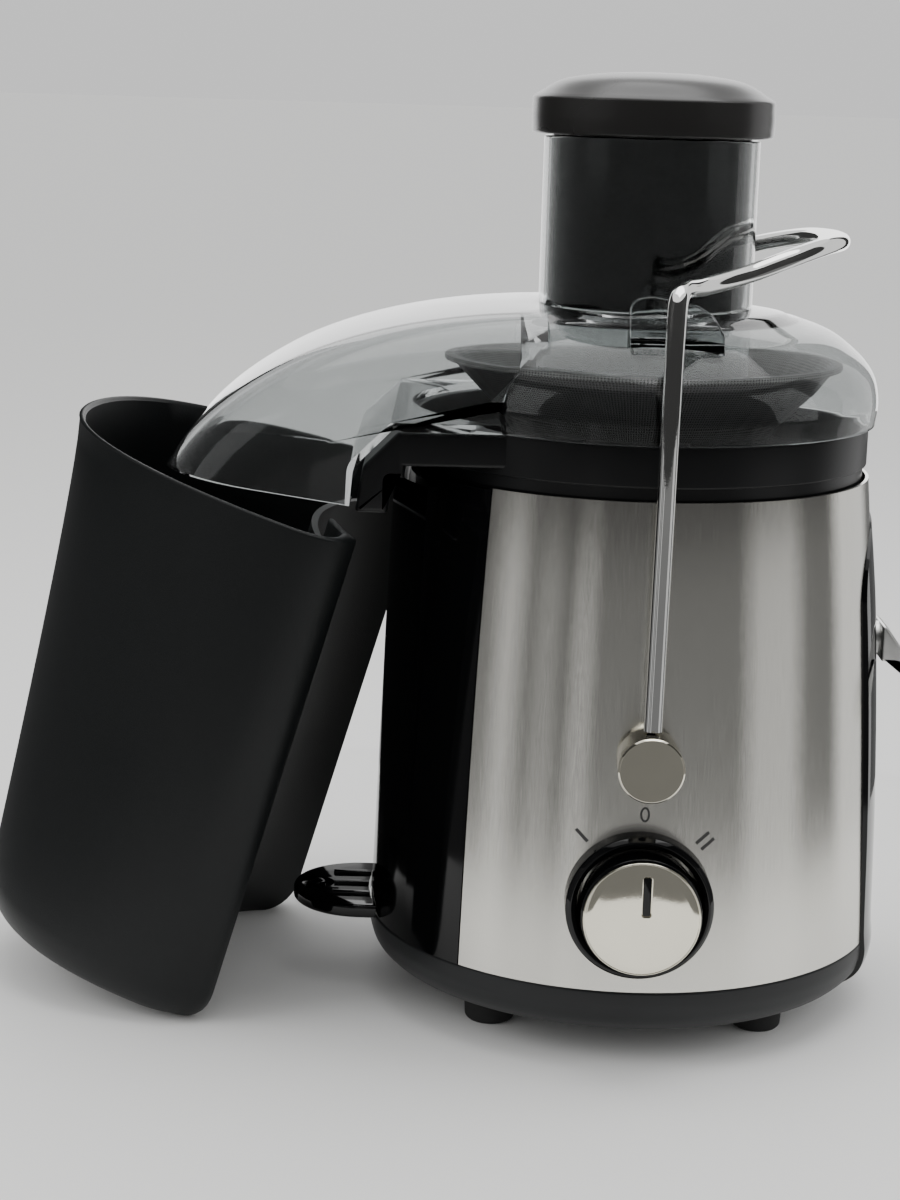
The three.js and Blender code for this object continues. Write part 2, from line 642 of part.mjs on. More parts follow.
// A curved strip about the Z axis, centred on -X or +X.
function arcStrip(side, inner, outer, halfAngle, z0, z1) {
  const start = side > 0 ? 0 : Math.PI;
  const half = rad(halfAngle);
  const outline = new THREE.Shape();
  outline.absarc(0, 0, outer, start - half, start + half);
  outline.absarc(0, 0, inner, start + half, start - half, true);
  return raised(outline, z0, z1, { curveSegments: 8 });
}

function makeStator() {
  const { bottom, top, bore, halfX, halfY } = CORE;
  const [z0, z1] = [bottom - 5, top + 5];
  const windows = SIDES.map(([, side]) => arcStrip(side, bore - 1, COIL.window, COIL.windowHalf, z0, z1));
  const frame = block(-halfX, halfX, -halfY, halfY, bottom, top);
  part("stator_core", cut(frame, disc(bore, z0, z1, 32), ...windows), LAMINATION);
  for (const [name, side] of SIDES) {
    const coil = arcStrip(side, COIL.inner, COIL.outer, COIL.halfAngle, COIL.bottom, COIL.top);
    part(`field_coil_${name}`, outward(coil), COPPER);
  }
}

// The brackets that hold the stator and the bearings, and the dampers the motor hangs from.
function makeBrackets() {
  const upper = BRACKET_UPPER;
  const lower = BRACKET_LOWER;
  const posts = (z0, z1) =>
    [-POST.y, POST.y].map((y) => block(-POST.half, POST.half, y - POST.half, y + POST.half, z0, z1));
  const shaftHole = disc(SHAFT.radius + 1.2, lower.hubBottom - 8, upper.top + 5);
  const seat = (z0, z1) => disc(BEARING.radius + GAP, z0, z1);
  const upperBody = join(
    disc(upper.radius, upper.bottom, upper.top, 24),
    disc(upper.hub, upper.hubBottom, upper.top - 1),
    ...posts(CORE.top + GAP, upper.top - 1),
  );
  const upperSeat = seat(upper.hubBottom - 10, upper.hubBottom + 10);
  part("upper_bracket", cut(upperBody, shaftHole, upperSeat), GREY_PLASTIC);
  const lowerBody = join(
    block(-lower.halfX, lower.halfX, -lower.halfY, lower.halfY, lower.bottom, lower.top),
    disc(upper.hub, lower.hubBottom, lower.hubTop),
    ...posts(lower.bottom + 2, CORE.bottom - GAP),
  );
  part("lower_bracket", cut(lowerBody, shaftHole, seat(lower.bottom, lower.hubTop + 12)), GREY_PLASTIC);
  for (const end of ["upper", "lower"]) {
    const bearing = washer(SHAFT.radius + 0.1, BEARING.radius, BEARING[end], BEARING[end] + BEARING.height);
    part(`${end}_bearing`, bearing, STEEL);
  }
  for (const [name, side] of SIDES) {
    const damper = disc(DAMPER.radius, upper.top + GAP, HOUSING.deckTop - HOUSING.deck - GAP);
    part(`motor_damper_${name}`, damper.translate(0, side * DAMPER.y, 0), RUBBER);
  }
}

function makeBrushes() {
  for (const [name, side] of SIDES) {
    const bar = (from, to, half, z0, z1) => {
      const [x0, x1] = [side * from, side * to].sort((a, b) => a - b);
      return block(x0, x1, -half, half, z0, z1);
    };
    const slack = GAP + 0.1;
    const { bottom, top, half, from, to } = BRUSH;
    const channel = bar(HOLDER.from - 6, HOLDER.to + 4, half + slack, bottom - slack, top + slack);
    const holder = cut(bar(HOLDER.from, HOLDER.to, HOLDER.half, HOLDER.bottom, HOLDER.top), channel);
    part(`brush_holder_${name}`, holder, BRASS);
    part(`carbon_brush_${name}`, bar(from, to, half, bottom, top), CARBON);
  }
}

function makeRotor() {
  const rotor = group();
  part("motor_shaft", disc(SHAFT.radius, SHAFT.bottom, SHAFT.top, 16), STEEL, rotor);
  const { slots, root, rootHalf, tipHalf } = ARMATURE;
  const teeth = new THREE.Shape();
  for (let i = 0; i < slots; i++) {
    const turn = (2 * Math.PI * i) / slots;
    const corner = (r, share) => V2(r * Math.cos(turn + share), r * Math.sin(turn + share));
    const tip = [corner(CORE.radius, -tipHalf), corner(CORE.radius, tipHalf)];
    const tooth = [corner(root, -rootHalf), ...tip, corner(root, rootHalf)];
    tooth.forEach((p, k) => (i + k ? teeth.lineTo(p.x, p.y) : teeth.moveTo(p.x, p.y)));
  }
  const bore = SHAFT.radius + GAP;
  part("armature_core", cut(raised(teeth, CORE.bottom, CORE.top), disc(bore, 0, 300, 16)), LAMINATION, rotor);
  const winding = (z0, z1) => ring([[9, z0], [19, z0], [22, (z0 + z1) / 2], [19, z1], [9, z1]], SMALL_ROUND);
  part("armature_winding_lower", winding(ARMATURE.windingFoot, CORE.bottom - GAP), COPPER, rotor);
  part("armature_winding_upper", winding(CORE.top + GAP, ARMATURE.windingTop), COPPER, rotor);
  part("commutator", washer(bore, COMMUTATOR.radius, COMMUTATOR.bottom, COMMUTATOR.top), COPPER, rotor);

  const hub = washer(bore, FAN.hub, FAN.bottom, FAN.top);
  const plate = washer(FAN.hub - 1, FAN.radius, FAN.plateBottom, FAN.plateTop, 24);
  const blade = (i) =>
    block(FAN.hub - 2, FAN.radius - 1, -0.9, 0.9, FAN.bottom + 1, FAN.plateTop - 1)
      .rotateZ((2 * Math.PI * i) / FAN.blades);
  const blades = Array.from({ length: FAN.blades }, (_, i) => blade(i));
  part("cooling_fan", join(hub, plate, ...blades), GREY_PLASTIC, rotor);
}

// The coupling on the shaft, the filter basket that it drives and the grating disc in the basket.
function makeBasket() {
  const spinning = group();
  const boreRadius = SHAFT.radius + GAP;
  const lobe = (i) =>
    disc(COUPLING.lobe, COUPLING.bottom + 2, COUPLING.top, 8)
      .translate(COUPLING.lobeAt, 0, 0)
      .rotateZ((2 * Math.PI * i) / COUPLING.lobes);
  const lobes = Array.from({ length: COUPLING.lobes }, (_, i) => lobe(i));
  const body = join(disc(COUPLING.radius, COUPLING.bottom, COUPLING.top), ...lobes);
  part("drive_coupling", cut(body, disc(boreRadius, 150, 300, 16)), GREY_PLASTIC, spinning);

  const { floor, rim, bottomRadius, rimRadius, wall, socket, socketOuter } = BASKET;
  const basket = ring([
    [SHAFT.radius + 1, floor],
    [socket, floor],
    [socket, floor - 10],
    [socketOuter, floor - 10],
    [socketOuter, floor],
    [bottomRadius, floor],
    [rimRadius - 1, rim - 2],
    [rimRadius + 1.5, rim - 2],
    [rimRadius + 1.5, rim],
    [rimRadius - 2.2, rim],
    [bottomRadius - wall, floor + wall + 1],
    [SHAFT.radius + 1, floor + wall + 1],
  ], ROUND);
  part("filter_basket", basket, STEEL, spinning);

  const { radius, bottom, top, boss, bossTop } = GRATER;
  const cone = ring([
    [boreRadius, bottom + 0.3],
    [boss, bottom + 0.3],
    [boss - 1.5, bossTop],
    [boreRadius, bossTop],
  ], SMALL_ROUND);
  part("grating_disc", join(washer(boreRadius, radius, bottom, top), cone), STEEL, spinning);
  part("shaft_seal", washer(SHAFT.radius + 0.2, 14, HOUSING.deckTop + GAP, HOUSING.deckTop + 4), RUBBER);
}

function makeElectrics() {
  part("safety_switch", block(-10, 10, 76, 83, 140, 156), GREY_PLASTIC);
  const { z, neck, sleeve, bore, from, wall, to } = GLAND;
  const gland = join(alongY(from, wall, 0, z, neck, 20), alongY(wall - 1.3, to, 0, z, sleeve, 20));
  part("cord_gland", cut(gland, alongY(from - 8, to + 10, 0, z, bore, 16)), RUBBER);
}

// ---------------------------------------------------------------- pulp container
// Plan outline of the container: a crescent whose hollow side wraps the body.
function binPlan(inset) {
  const nest = BIN.nest + inset;
  const tipY = 70 - inset * 1.6;
  const tip = V2(-Math.sqrt(nest * nest - tipY * tipY), tipY);
  const width = 88 - inset;
  const reach = 210 - inset;
  const outline = new THREE.Shape();
  outline.moveTo(tip.x, -tip.y);
  outline.quadraticCurveTo(-80 - inset, -87 + inset, -99, -width);
  outline.bezierCurveTo(-165, -width + 2, -reach, -55, -reach, 0);
  outline.bezierCurveTo(-reach, 55, -165, width - 2, -99, width);
  outline.quadraticCurveTo(-80 - inset, 87 - inset, tip.x, tip.y);
  const angle = Math.atan2(tip.y, tip.x);
  outline.absarc(0, 0, nest, angle, 2 * Math.PI - angle);
  return outline;
}

// The outline raised in levels, drawn in towards its foot and rounded at the floor.
function binSolid(inset, bottom, top) {
  const levels = 6;
  const geometry = raised(binPlan(inset), 0, levels, { steps: levels, curveSegments: 7 });
  const rise = [0, 2.5, 8, 16, 90, 160, 208];
  const roundIn = [11, 5, 1.4, 0, 0, 0, 0];
  const position = geometry.attributes.position;
  for (let i = 0; i < position.count; i++) {
    const level = Math.round(position.getZ(i));
    const share = rise[level] / rise[levels];
    const taper = 1 - share;
    let [x, y] = [position.getX(i), position.getY(i)];
    const away = THREE.MathUtils.clamp((Math.hypot(x, y) - BIN.nest) / 15, 0, 1);
    y -= taper * away * (8 / 88) * y;
    x += taper ** 0.7 * away * 17 * THREE.MathUtils.clamp((-105 - x) / 105, 0, 1);
    const [middleX, reach] = [-142, 60];
    x += ((middleX - x) * roundIn[level]) / reach;
    y -= (y * roundIn[level]) / (reach + 15);
    position.setXYZ(i, x, y, bottom + share * (top - bottom));
  }
  return outward(geometry);
}

function makeContainer() {
  const { bottom, rim, wall, notch, notchHalf } = BIN;
  const pocket = (grow) =>
    block(-BIN_POCKET.reach - grow, -60, -BIN_POCKET.halfWidth - grow, BIN_POCKET.halfWidth + grow,
      -10, BIN_POCKET.top + grow);
  const hollow = cut(binSolid(wall, bottom + wall, rim + 1), pocket(wall));
  const rimNotch = block(-116, -60, -notchHalf, notchHalf, notch, rim + 10);
  const bin = cut(binSolid(0, bottom, rim), hollow, pocket(0), rimNotch);
  const hinge = group();
  hinge.position.copy(LEAN.point);
  hinge.quaternion.setFromAxisAngle(LEAN.axis, LEAN.angle);
  part("pulp_container", bin, MATTE_BLACK, hinge).position.copy(LEAN.point).negate();
}

makeBase();
makeSupportTab();
makeSkins();
makeCollector();
makeJuiceway();
makeLid();
makePusher();
makeArm();
makeKnob();
makeStator();
makeBrackets();
makeBrushes();
makeRotor();
makeBasket();
makeElectrics();
makeContainer();

// The origin goes to the centre of the bounding box's base.
juicer.updateMatrixWorld(true);
const extent = new THREE.Box3().setFromObject(juicer, true);
const centre = extent.getCenter(V3(0, 0, 0));
juicer.position.set(-centre.x, -centre.y, -extent.min.z);

export default juicer;
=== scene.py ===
import json
import math

import bmesh
import bpy
import numpy as np
from mathutils import Matrix, Vector


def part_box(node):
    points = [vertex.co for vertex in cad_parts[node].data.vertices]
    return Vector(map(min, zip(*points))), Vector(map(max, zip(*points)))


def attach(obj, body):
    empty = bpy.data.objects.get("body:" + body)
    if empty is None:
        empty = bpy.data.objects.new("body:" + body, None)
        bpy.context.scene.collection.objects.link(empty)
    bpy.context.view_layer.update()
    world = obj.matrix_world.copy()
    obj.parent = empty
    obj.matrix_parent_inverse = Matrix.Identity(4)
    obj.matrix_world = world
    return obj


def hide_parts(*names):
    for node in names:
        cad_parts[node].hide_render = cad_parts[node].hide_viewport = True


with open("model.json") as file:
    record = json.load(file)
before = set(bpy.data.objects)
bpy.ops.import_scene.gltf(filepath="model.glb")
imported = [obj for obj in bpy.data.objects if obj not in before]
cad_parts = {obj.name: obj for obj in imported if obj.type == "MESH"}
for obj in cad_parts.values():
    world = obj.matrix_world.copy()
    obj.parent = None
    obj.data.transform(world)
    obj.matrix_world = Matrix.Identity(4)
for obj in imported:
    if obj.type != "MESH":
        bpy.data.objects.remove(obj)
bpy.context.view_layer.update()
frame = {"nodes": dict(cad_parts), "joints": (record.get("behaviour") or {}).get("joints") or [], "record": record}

# Design sizes below are millimetres from the motor's axis, +Z up, front towards -Y,
# pulp container towards -X. place() puts them in the row frame.
MM = 0.001
shaft_low, shaft_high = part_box("motor_shaft")
AXIS = Vector(((shaft_low.x + shaft_high.x) / 2, 0, 0))


def place(x, y, z):
    return AXIS + Vector((x, y, z)) * MM


# ---------------------------------------------------------------- camera
CAMERA_AT = (-73.49, -951.96, 363.56)
CAMERA_PITCH, CAMERA_ROLL = math.radians(12.152), math.radians(1.678)
SENSOR, LENS = 36, 72


def make_camera():
    data = bpy.data.cameras.new("camera")
    data.sensor_width = SENSOR
    data.lens = LENS
    camera = bpy.data.objects.new("camera", data)
    bpy.context.scene.collection.objects.link(camera)
    pitch, roll = CAMERA_PITCH, CAMERA_ROLL
    right = Vector((1, 0, 0))
    up = Vector((0, math.sin(pitch), math.cos(pitch)))
    back = Vector((0, -math.cos(pitch), math.sin(pitch)))
    side = right * math.cos(roll) + up * math.sin(roll)
    top = up * math.cos(roll) - right * math.sin(roll)
    turn = Matrix((side, top, back)).transposed().to_4x4()
    camera.matrix_world = Matrix.Translation(place(*CAMERA_AT)) @ turn
    bpy.context.scene.camera = camera


make_camera()


# ---------------------------------------------------------------- node helpers
class Shader:
    """A Principled material and short ways to add noise, bump and colour to it."""

    def __init__(self, name, color, roughness, metallic=0.0, **sockets):
        self.material = bpy.data.materials.new(name)
        self.material.use_nodes = True
        self.tree = self.material.node_tree
        self.shader = self.tree.nodes["Principled BSDF"]
        self.shader.inputs["Base Color"].default_value = (*color, 1)
        self.shader.inputs["Roughness"].default_value = roughness
        self.shader.inputs["Metallic"].default_value = metallic
        for socket, value in sockets.items():
            self.shader.inputs[socket.replace("_", " ")].default_value = value
        self.color = color

    def node(self, kind, **settings):
        made = self.tree.nodes.new(kind)
        for name, value in settings.items():
            setattr(made, name, value)
        return made

    def link(self, source, target):
        self.tree.links.new(source, target)

    def math(self, operation, first, second=None):
        made = self.node("ShaderNodeMath", operation=operation)
        for socket, value in zip(made.inputs, (first, second)):
            if isinstance(value, (int, float)):
                socket.default_value = value
            elif value is not None:
                self.link(value, socket)
        return made.outputs[0]

    def place(self):
        return self.node("ShaderNodeTexCoord").outputs["Object"]

    def stretched(self, scale):
        mapping = self.node("ShaderNodeMapping")
        mapping.inputs["Scale"].default_value = scale
        self.link(self.place(), mapping.inputs["Vector"])
        return mapping.outputs["Vector"]

    def around_axis(self, turns, height):
        """Coordinates that unroll a surface round the motor's axis: angle, height and radius."""
        xyz = self.node("ShaderNodeSeparateXYZ")
        self.link(self.place(), xyz.inputs[0])
        x = self.math("SUBTRACT", xyz.outputs["X"], AXIS.x)
        angle = self.math("ARCTAN2", xyz.outputs["Y"], x)
        joined = self.node("ShaderNodeCombineXYZ")
        self.link(self.math("MULTIPLY", angle, turns), joined.inputs["X"])
        self.link(self.math("MULTIPLY", xyz.outputs["Z"], height), joined.inputs["Y"])
        return joined.outputs[0]

    def noise(self, vector, scale, detail=3.0):
        made = self.node("ShaderNodeTexNoise")
        made.inputs["Scale"].default_value = scale
        made.inputs["Detail"].default_value = detail
        self.link(vector, made.inputs["Vector"])
        return made.outputs["Fac"]

    def ranged(self, value, low, high, source=(0.3, 0.7)):
        made = self.node("ShaderNodeMapRange")
        made.inputs["From Min"].default_value, made.inputs["From Max"].default_value = source
        made.inputs["To Min"].default_value, made.inputs["To Max"].default_value = low, high
        self.link(value, made.inputs["Value"])
        return made.outputs["Result"]

    def vary_roughness(self, value, low, high):
        self.link(self.ranged(value, low, high), self.shader.inputs["Roughness"])
        return self

    def vary_color(self, value, shade):
        """The base colour, darkened to a share of itself where value is low."""
        ramp = self.node("ShaderNodeValToRGB")
        ramp.color_ramp.elements[0].position = 0.3
        ramp.color_ramp.elements[0].color = (*[c * shade for c in self.color], 1)
        ramp.color_ramp.elements[1].position = 0.7
        ramp.color_ramp.elements[1].color = (*self.color, 1)
        self.link(value, ramp.inputs["Fac"])
        self.link(ramp.outputs["Color"], self.shader.inputs["Base Color"])
        return self

    def bump(self, value, strength, distance=0.0004):
        made = self.node("ShaderNodeBump")
        made.inputs["Strength"].default_value = strength
        made.inputs["Distance"].default_value = distance
        self.link(value, made.inputs["Height"])
        self.link(made.outputs["Normal"], self.shader.inputs["Normal"])
        return self


def moulded(name, color, roughness, grain=900, depth=0.25, **sockets):
    """Moulded plastic: a fine grain, with slightly uneven gloss and tone."""
    made = Shader(name, color, roughness, **sockets)
    broad = made.noise(made.place(), 9)
    made.vary_roughness(broad, roughness * 0.88, roughness * 1.12)
    made.vary_color(made.noise(made.place(), 60, 5), 0.9)
    made.bump(made.noise(made.place(), grain, 2), depth, 0.0002)
    return made.material


def polished(name, color, roughness, **sockets):
    """Polished plastic: almost no grain, faint waviness and fine hairlines in the gloss."""
    made = Shader(name, color, roughness, **sockets)
    made.vary_roughness(made.noise(made.place(), 40, 6), roughness * 0.7, roughness * 1.6)
    made.vary_color(made.noise(made.place(), 20), 0.85)
    made.bump(made.noise(made.place(), 14, 1), 0.03, 0.002)
    return made.material


def metal(name, color, roughness, grain=120, depth=0.05, **sockets):
    made = Shader(name, color, roughness, 1.0, **sockets)
    made.vary_roughness(made.noise(made.place(), grain, 5), roughness * 0.8, roughness * 1.3)
    made.vary_color(made.noise(made.place(), 30), 0.93)
    made.bump(made.noise(made.place(), grain * 6, 2), depth, 0.0001)
    return made.material


def brushed_wrap(name, color, roughness):
    """Sheet steel brushed along its height and rolled round the motor's axis."""
    made = Shader(name, color, roughness, 1.0, Anisotropic=1.0, Anisotropic_Rotation=0.25)
    strokes = made.noise(made.around_axis(60, 9), 9, 8)
    made.vary_roughness(strokes, roughness * 0.82, roughness * 1.2)
    made.vary_color(strokes, 0.9)
    made.bump(made.noise(made.around_axis(260, 14), 6, 4), 0.07, 0.0002)
    tangent = made.node("ShaderNodeTangent", direction_type="RADIAL", axis="Z")
    made.link(tangent.outputs[0], made.shader.inputs["Tangent"])
    return made.material


def turned_metal(name, color, roughness, rings=900):
    """Turned metal, with fine rings along the motor's axis."""
    made = Shader(name, color, roughness, 1.0)
    lines = made.noise(made.stretched((4, 4, rings)), 1, 4)
    made.vary_roughness(lines, roughness * 0.7, roughness * 1.4)
    made.vary_color(lines, 0.85)
    made.bump(lines, 0.15, 0.0001)
    return made.material


def smoke_clear(name):
    """Smoke-tinted clear plastic with faint flow waves."""
    made = Shader(name, (0.7, 0.72, 0.72), 0.03, IOR=1.33, Transmission_Weight=1.0)
    made.vary_roughness(made.noise(made.place(), 25, 4), 0.015, 0.06)
    made.bump(made.noise(made.place(), 18, 1), 0.05, 0.002)
    return made.material


def perforated(name):
    """Etched stainless mesh: rows of fine holes shown as dimples, with painted shade as dark dots where the holes
    are.
    """
    made = Shader(name, (0.17, 0.17, 0.165), 0.36, 1.0)
    voronoi = made.node("ShaderNodeTexVoronoi")
    voronoi.inputs["Scale"].default_value = 1
    voronoi.inputs["Randomness"].default_value = 0
    made.link(made.around_axis(60, 1100), voronoi.inputs["Vector"])
    painted_hole_shade = made.ranged(voronoi.outputs["Distance"], 0, 1, (0.25, 0.38))
    # The dark dots are painted shade in the holes, not real openings.
    made.vary_color(painted_hole_shade, 0.06)
    made.bump(painted_hole_shade, 0.6, 0.0003)
    return made.material


def wound(name, color):
    """Enamelled wire laid side by side."""
    made = Shader(name, color, 0.3, 0.85, Coat_Weight=0.5)
    wave = made.node("ShaderNodeTexWave", bands_direction="Z")
    wave.inputs["Scale"].default_value = 260
    wave.inputs["Distortion"].default_value = 0.6
    made.link(made.place(), wave.inputs["Vector"])
    made.vary_color(wave.outputs["Fac"], 0.45)
    made.bump(wave.outputs["Fac"], 0.8, 0.0005)
    return made.material


def layered(name, color):
    """A stack of thin steel sheets."""
    made = Shader(name, color, 0.5, 0.9)
    wave = made.node("ShaderNodeTexWave", bands_direction="Z")
    wave.inputs["Scale"].default_value = 320
    made.link(made.place(), wave.inputs["Vector"])
    made.vary_color(wave.outputs["Fac"], 0.6)
    made.bump(wave.outputs["Fac"], 0.5, 0.0003)
    return made.material


SATIN_BLACK = moulded("satin_black", (0.0038, 0.004, 0.0043), 0.34, 1400, 0.12, Specular_IOR_Level=0.3)
GREY_BLACK = moulded("grey_black", (0.009, 0.0098, 0.0105), 0.4, 1400, 0.15, Specular_IOR_Level=0.35)
GLOSS_BLACK = polished("gloss_black", (0.0015, 0.0016, 0.0018), 0.07, Specular_IOR_Level=0.35)
PUSHER_BLACK = polished("pusher_black", (0.0015, 0.0016, 0.0018), 0.09, Specular_IOR_Level=0.08)
MATTE_BLACK = moulded("matte_black", (0.0042, 0.0052, 0.0055), 0.46, 1700, 0.35, Specular_IOR_Level=0.28)
CHARCOAL = moulded("charcoal", (0.012, 0.0115, 0.011), 0.27, 1500, 0.1)
# The steel's base colour is partly its own tone and partly a painted warm tint that stands in for warm reflected
# light; the cards and lamps stay neutral.
STEEL_PAINTED_WARM_LIGHT = brushed_wrap("brushed_steel", (0.79, 0.775, 0.72), 0.15)
MACHINED = turned_metal("machined_steel", (0.55, 0.55, 0.55), 0.28)
CHROME = metal("chrome", (0.93, 0.93, 0.91), 0.05)
# This chrome's warm tint is a painted reflection of warm surroundings, not the metal's own colour.
CHROME_PAINTED_WARM_REFLECTION = metal("chrome_painted_warm_reflection", (0.92, 0.88, 0.74), 0.06)
SMOKE = smoke_clear("smoke_clear")
MESH = perforated("filter_mesh")
RUBBER = moulded("rubber", (0.012, 0.012, 0.012), 0.8, 700, 0.4)
GREY_PLASTIC = moulded("grey_plastic", (0.1, 0.1, 0.105), 0.5, 1100, 0.2)
PALE_CHROME = metal("pale_chrome", (0.84, 0.84, 0.82), 0.36)
COPPER = wound("copper_winding", (0.5, 0.18, 0.06))
LAMINATION = layered("lamination", (0.2, 0.21, 0.22))
BRASS = metal("brass", (0.55, 0.36, 0.1), 0.28, 160)
CARBON = moulded("carbon", (0.02, 0.02, 0.022), 0.65, 800, 0.3)
MARK = moulded("printed_mark", (0.03, 0.03, 0.03), 0.5, 1500, 0.1)


# ---------------------------------------------------------------- outline helpers
def rounded(points, radius, steps=5, closed=True):
    """The outline with its corners rounded. radius is one number, or one for each corner."""
    radii = [radius] * len(points) if isinstance(radius, (int, float)) else radius
    made = []
    for i, corner in enumerate(points):
        here = Vector(corner)
        if radii[i] == 0 or (not closed and i in (0, len(points) - 1)):
            made.append(tuple(here))
            continue
        before = Vector(points[i - 1]) - here
        after = Vector(points[(i + 1) % len(points)]) - here
        half = before.angle(after) / 2
        reach = min(radii[i] / math.tan(half), 0.49 * before.length, 0.49 * after.length)
        before.normalize()
        after.normalize()
        centre = here + (before + after).normalized() * reach / math.cos(half)
        start, end = here + before * reach - centre, here + after * reach - centre
        sweep = start.angle_signed(end)
        for k in range(steps + 1):
            turn = Matrix.Rotation(-sweep * k / steps, 2)
            made.append(tuple(centre + turn @ start))
    return made


def bezier(points, steps):
    """Points along a quadratic or cubic Bezier curve, the last one left out."""
    made = []
    for k in range(steps):
        row = [Vector(p) for p in points]
        while len(row) > 1:
            row = [a.lerp(b, k / steps) for a, b in zip(row, row[1:])]
        made.append(tuple(row[0]))
    return made


def smooth_path(points, steps):
    """A centripetal Catmull-Rom curve through the points."""
    row = [Vector(p) for p in points]
    row = [row[0] * 2 - row[1], *row, row[-1] * 2 - row[-2]]
    made = []
    for a, b, c, d in zip(row, row[1:], row[2:], row[3:]):
        t1 = (b - a).length ** 0.5
        t2 = t1 + (c - b).length ** 0.5
        t3 = t2 + (d - c).length ** 0.5
        for k in range(steps):
            t = t1 + (t2 - t1) * k / steps
            ab = a.lerp(b, t / t1)
            bc = b.lerp(c, (t - t1) / (t2 - t1))
            cd = c.lerp(d, (t - t2) / (t3 - t2))
            first, second = ab.lerp(bc, t / t2), bc.lerp(cd, (t - t1) / (t3 - t1))
            made.append(tuple(first.lerp(second, (t - t1) / (t2 - t1))))
    return [*made, tuple(row[-2])]


def inset(outline, depth):
    """The outline drawn in by depth, or out if depth is negative. It runs anticlockwise."""
    here = np.array(outline, float)
    nxt = np.roll(here, -1, 0)
    if (here[:, 0] * nxt[:, 1] - nxt[:, 0] * here[:, 1]).sum() < 0:
        here = here[::-1]
    step = np.roll(here, -1, 0) - here
    step /= np.linalg.norm(step, axis=1)[:, None]
    inward = np.stack([-step[:, 1], step[:, 0]], 1)
    before = np.roll(inward, 1, 0)
    miter = (before + inward) / (1 + (before * inward).sum(1))[:, None]
    return here + depth * miter


def quarter(radius, steps=4):
    """(height, inset) pairs round an edge, from its foot to its full height."""
    angles = [math.pi / 2 * k / steps for k in range(steps + 1)]
    return [(radius * (1 - math.cos(a)), radius * (1 - math.sin(a))) for a in angles]


# ---------------------------------------------------------------- mesh helpers
def solid(name, points, faces, crease=32):
    """A closed mesh from points in design millimetres, faces turned outward."""
    mesh = bpy.data.meshes.new(name)
    mesh.from_pydata([place(*p) for p in points], [], [list(f) for f in faces])
    work = bmesh.new()
    work.from_mesh(mesh)
    bmesh.ops.remove_doubles(work, verts=work.verts, dist=1e-7)
    bmesh.ops.delete(work, geom=[e for e in work.edges if not e.link_faces], context="EDGES")
    bmesh.ops.recalc_face_normals(work, faces=work.faces)
    work.to_mesh(mesh)
    work.free()
    made = bpy.data.objects.new(name, mesh)
    bpy.context.scene.collection.objects.link(made)
    return shade(made, crease)


def shade(made, crease=32):
    made.data.shade_smooth()
    made.data.set_sharp_from_angle(angle=math.radians(crease))
    return made


def lofted(name, loops, crease=32):
    """A closed skin over loops of equal length, capped at both ends."""
    count = len(loops[0])
    points = [p for loop in loops for p in loop]
    faces = [
        (i * count + k, i * count + (k + 1) % count, (i + 1) * count + (k + 1) % count, (i + 1) * count + k)
        for i in range(len(loops) - 1)
        for k in range(count)
    ]
    faces.append(range(count))
    faces.append(range(len(points) - count, len(points)))
    return solid(name, points, faces, crease)


def turned(name, profile, sides=160, span=(0, 360), crease=32):
    """A closed profile of (radius, height) turned about the motor's axis, from -X towards -Y."""
    whole = span[1] - span[0] == 360
    angles = np.radians(np.linspace(*span, sides + 1))
    loops = [[(-r * math.cos(a), -r * math.sin(a), z) for r, z in profile] for a in angles]
    if not whole:
        return lofted(name, loops, crease)
    count = len(profile)
    points = [p for loop in loops[:-1] for p in loop]
    faces = []
    for i in range(sides):
        j = (i + 1) % sides
        for k in range(count):
            n = (k + 1) % count
            faces.append((i * count + k, i * count + n, j * count + n, j * count + k))
    return solid(name, points, faces, crease)


def moved(made, offset=(0, 0, 0), turn=None):
    """Moves a mesh's own points, first turned about the design origin, then by millimetres."""
    matrix = Matrix.Translation(Vector(offset) * MM)
    if turn is not None:
        matrix = matrix @ Matrix.Translation(AXIS) @ turn.to_4x4() @ Matrix.Translation(-AXIS)
    made.data.transform(matrix)
    return made


def facing_front(made, x, z):
    """A piece turned about +Z is laid down so that its axis runs along -Y through (x, z)."""
    return moved(made, (x, 0, z), Matrix.Rotation(math.pi / 2, 3, "X"))


def slab(name, outline, low, high, edge=0.0, steps=4, upright=False, crease=32):
    """An outline given thickness with rounded edges: along Y for an (x, z) outline, or along Z
    for an (x, y) outline when upright is true."""
    levels = [(low + h, d) for h, d in quarter(edge, steps)] if edge else [(low, 0)]
    levels += [(high - h, d) for h, d in reversed(quarter(edge, steps))] if edge else [(high, 0)]
    loops = []
    for level, depth in levels:
        flat = inset(outline, depth)
        loops.append([(a, b, level) if upright else (a, level, b) for a, b in flat])
    return lofted(name, loops, crease)


def block(name, x, y, z, edge=0.0, steps=3):
    corners = [(x[0], z[0]), (x[1], z[0]), (x[1], z[1]), (x[0], z[1])]
    return slab(name, rounded(corners, 1.3 * edge, steps) if edge else corners, *y, edge, steps)


def combine(base, tool, operation):
    """base joined with, cut by or kept only inside tool, which is used up."""
    modifier = base.modifiers.new("combine", "BOOLEAN")
    modifier.operation = operation
    modifier.solver = "MANIFOLD"
    modifier.object = tool
    bpy.context.view_layer.update()
    graph = bpy.context.evaluated_depsgraph_get()
    result = bpy.data.meshes.new_from_object(base.evaluated_get(graph))
    base.modifiers.clear()
    base.data = result
    bpy.data.objects.remove(tool)
    return shade(base)


def cut(base, *tools):
    for tool in tools:
        combine(base, tool, "DIFFERENCE")
    return base


def join(base, *tools):
    for tool in tools:
        combine(base, tool, "UNION")
    return base


def common(base, tool):
    return combine(base, tool, "INTERSECT")


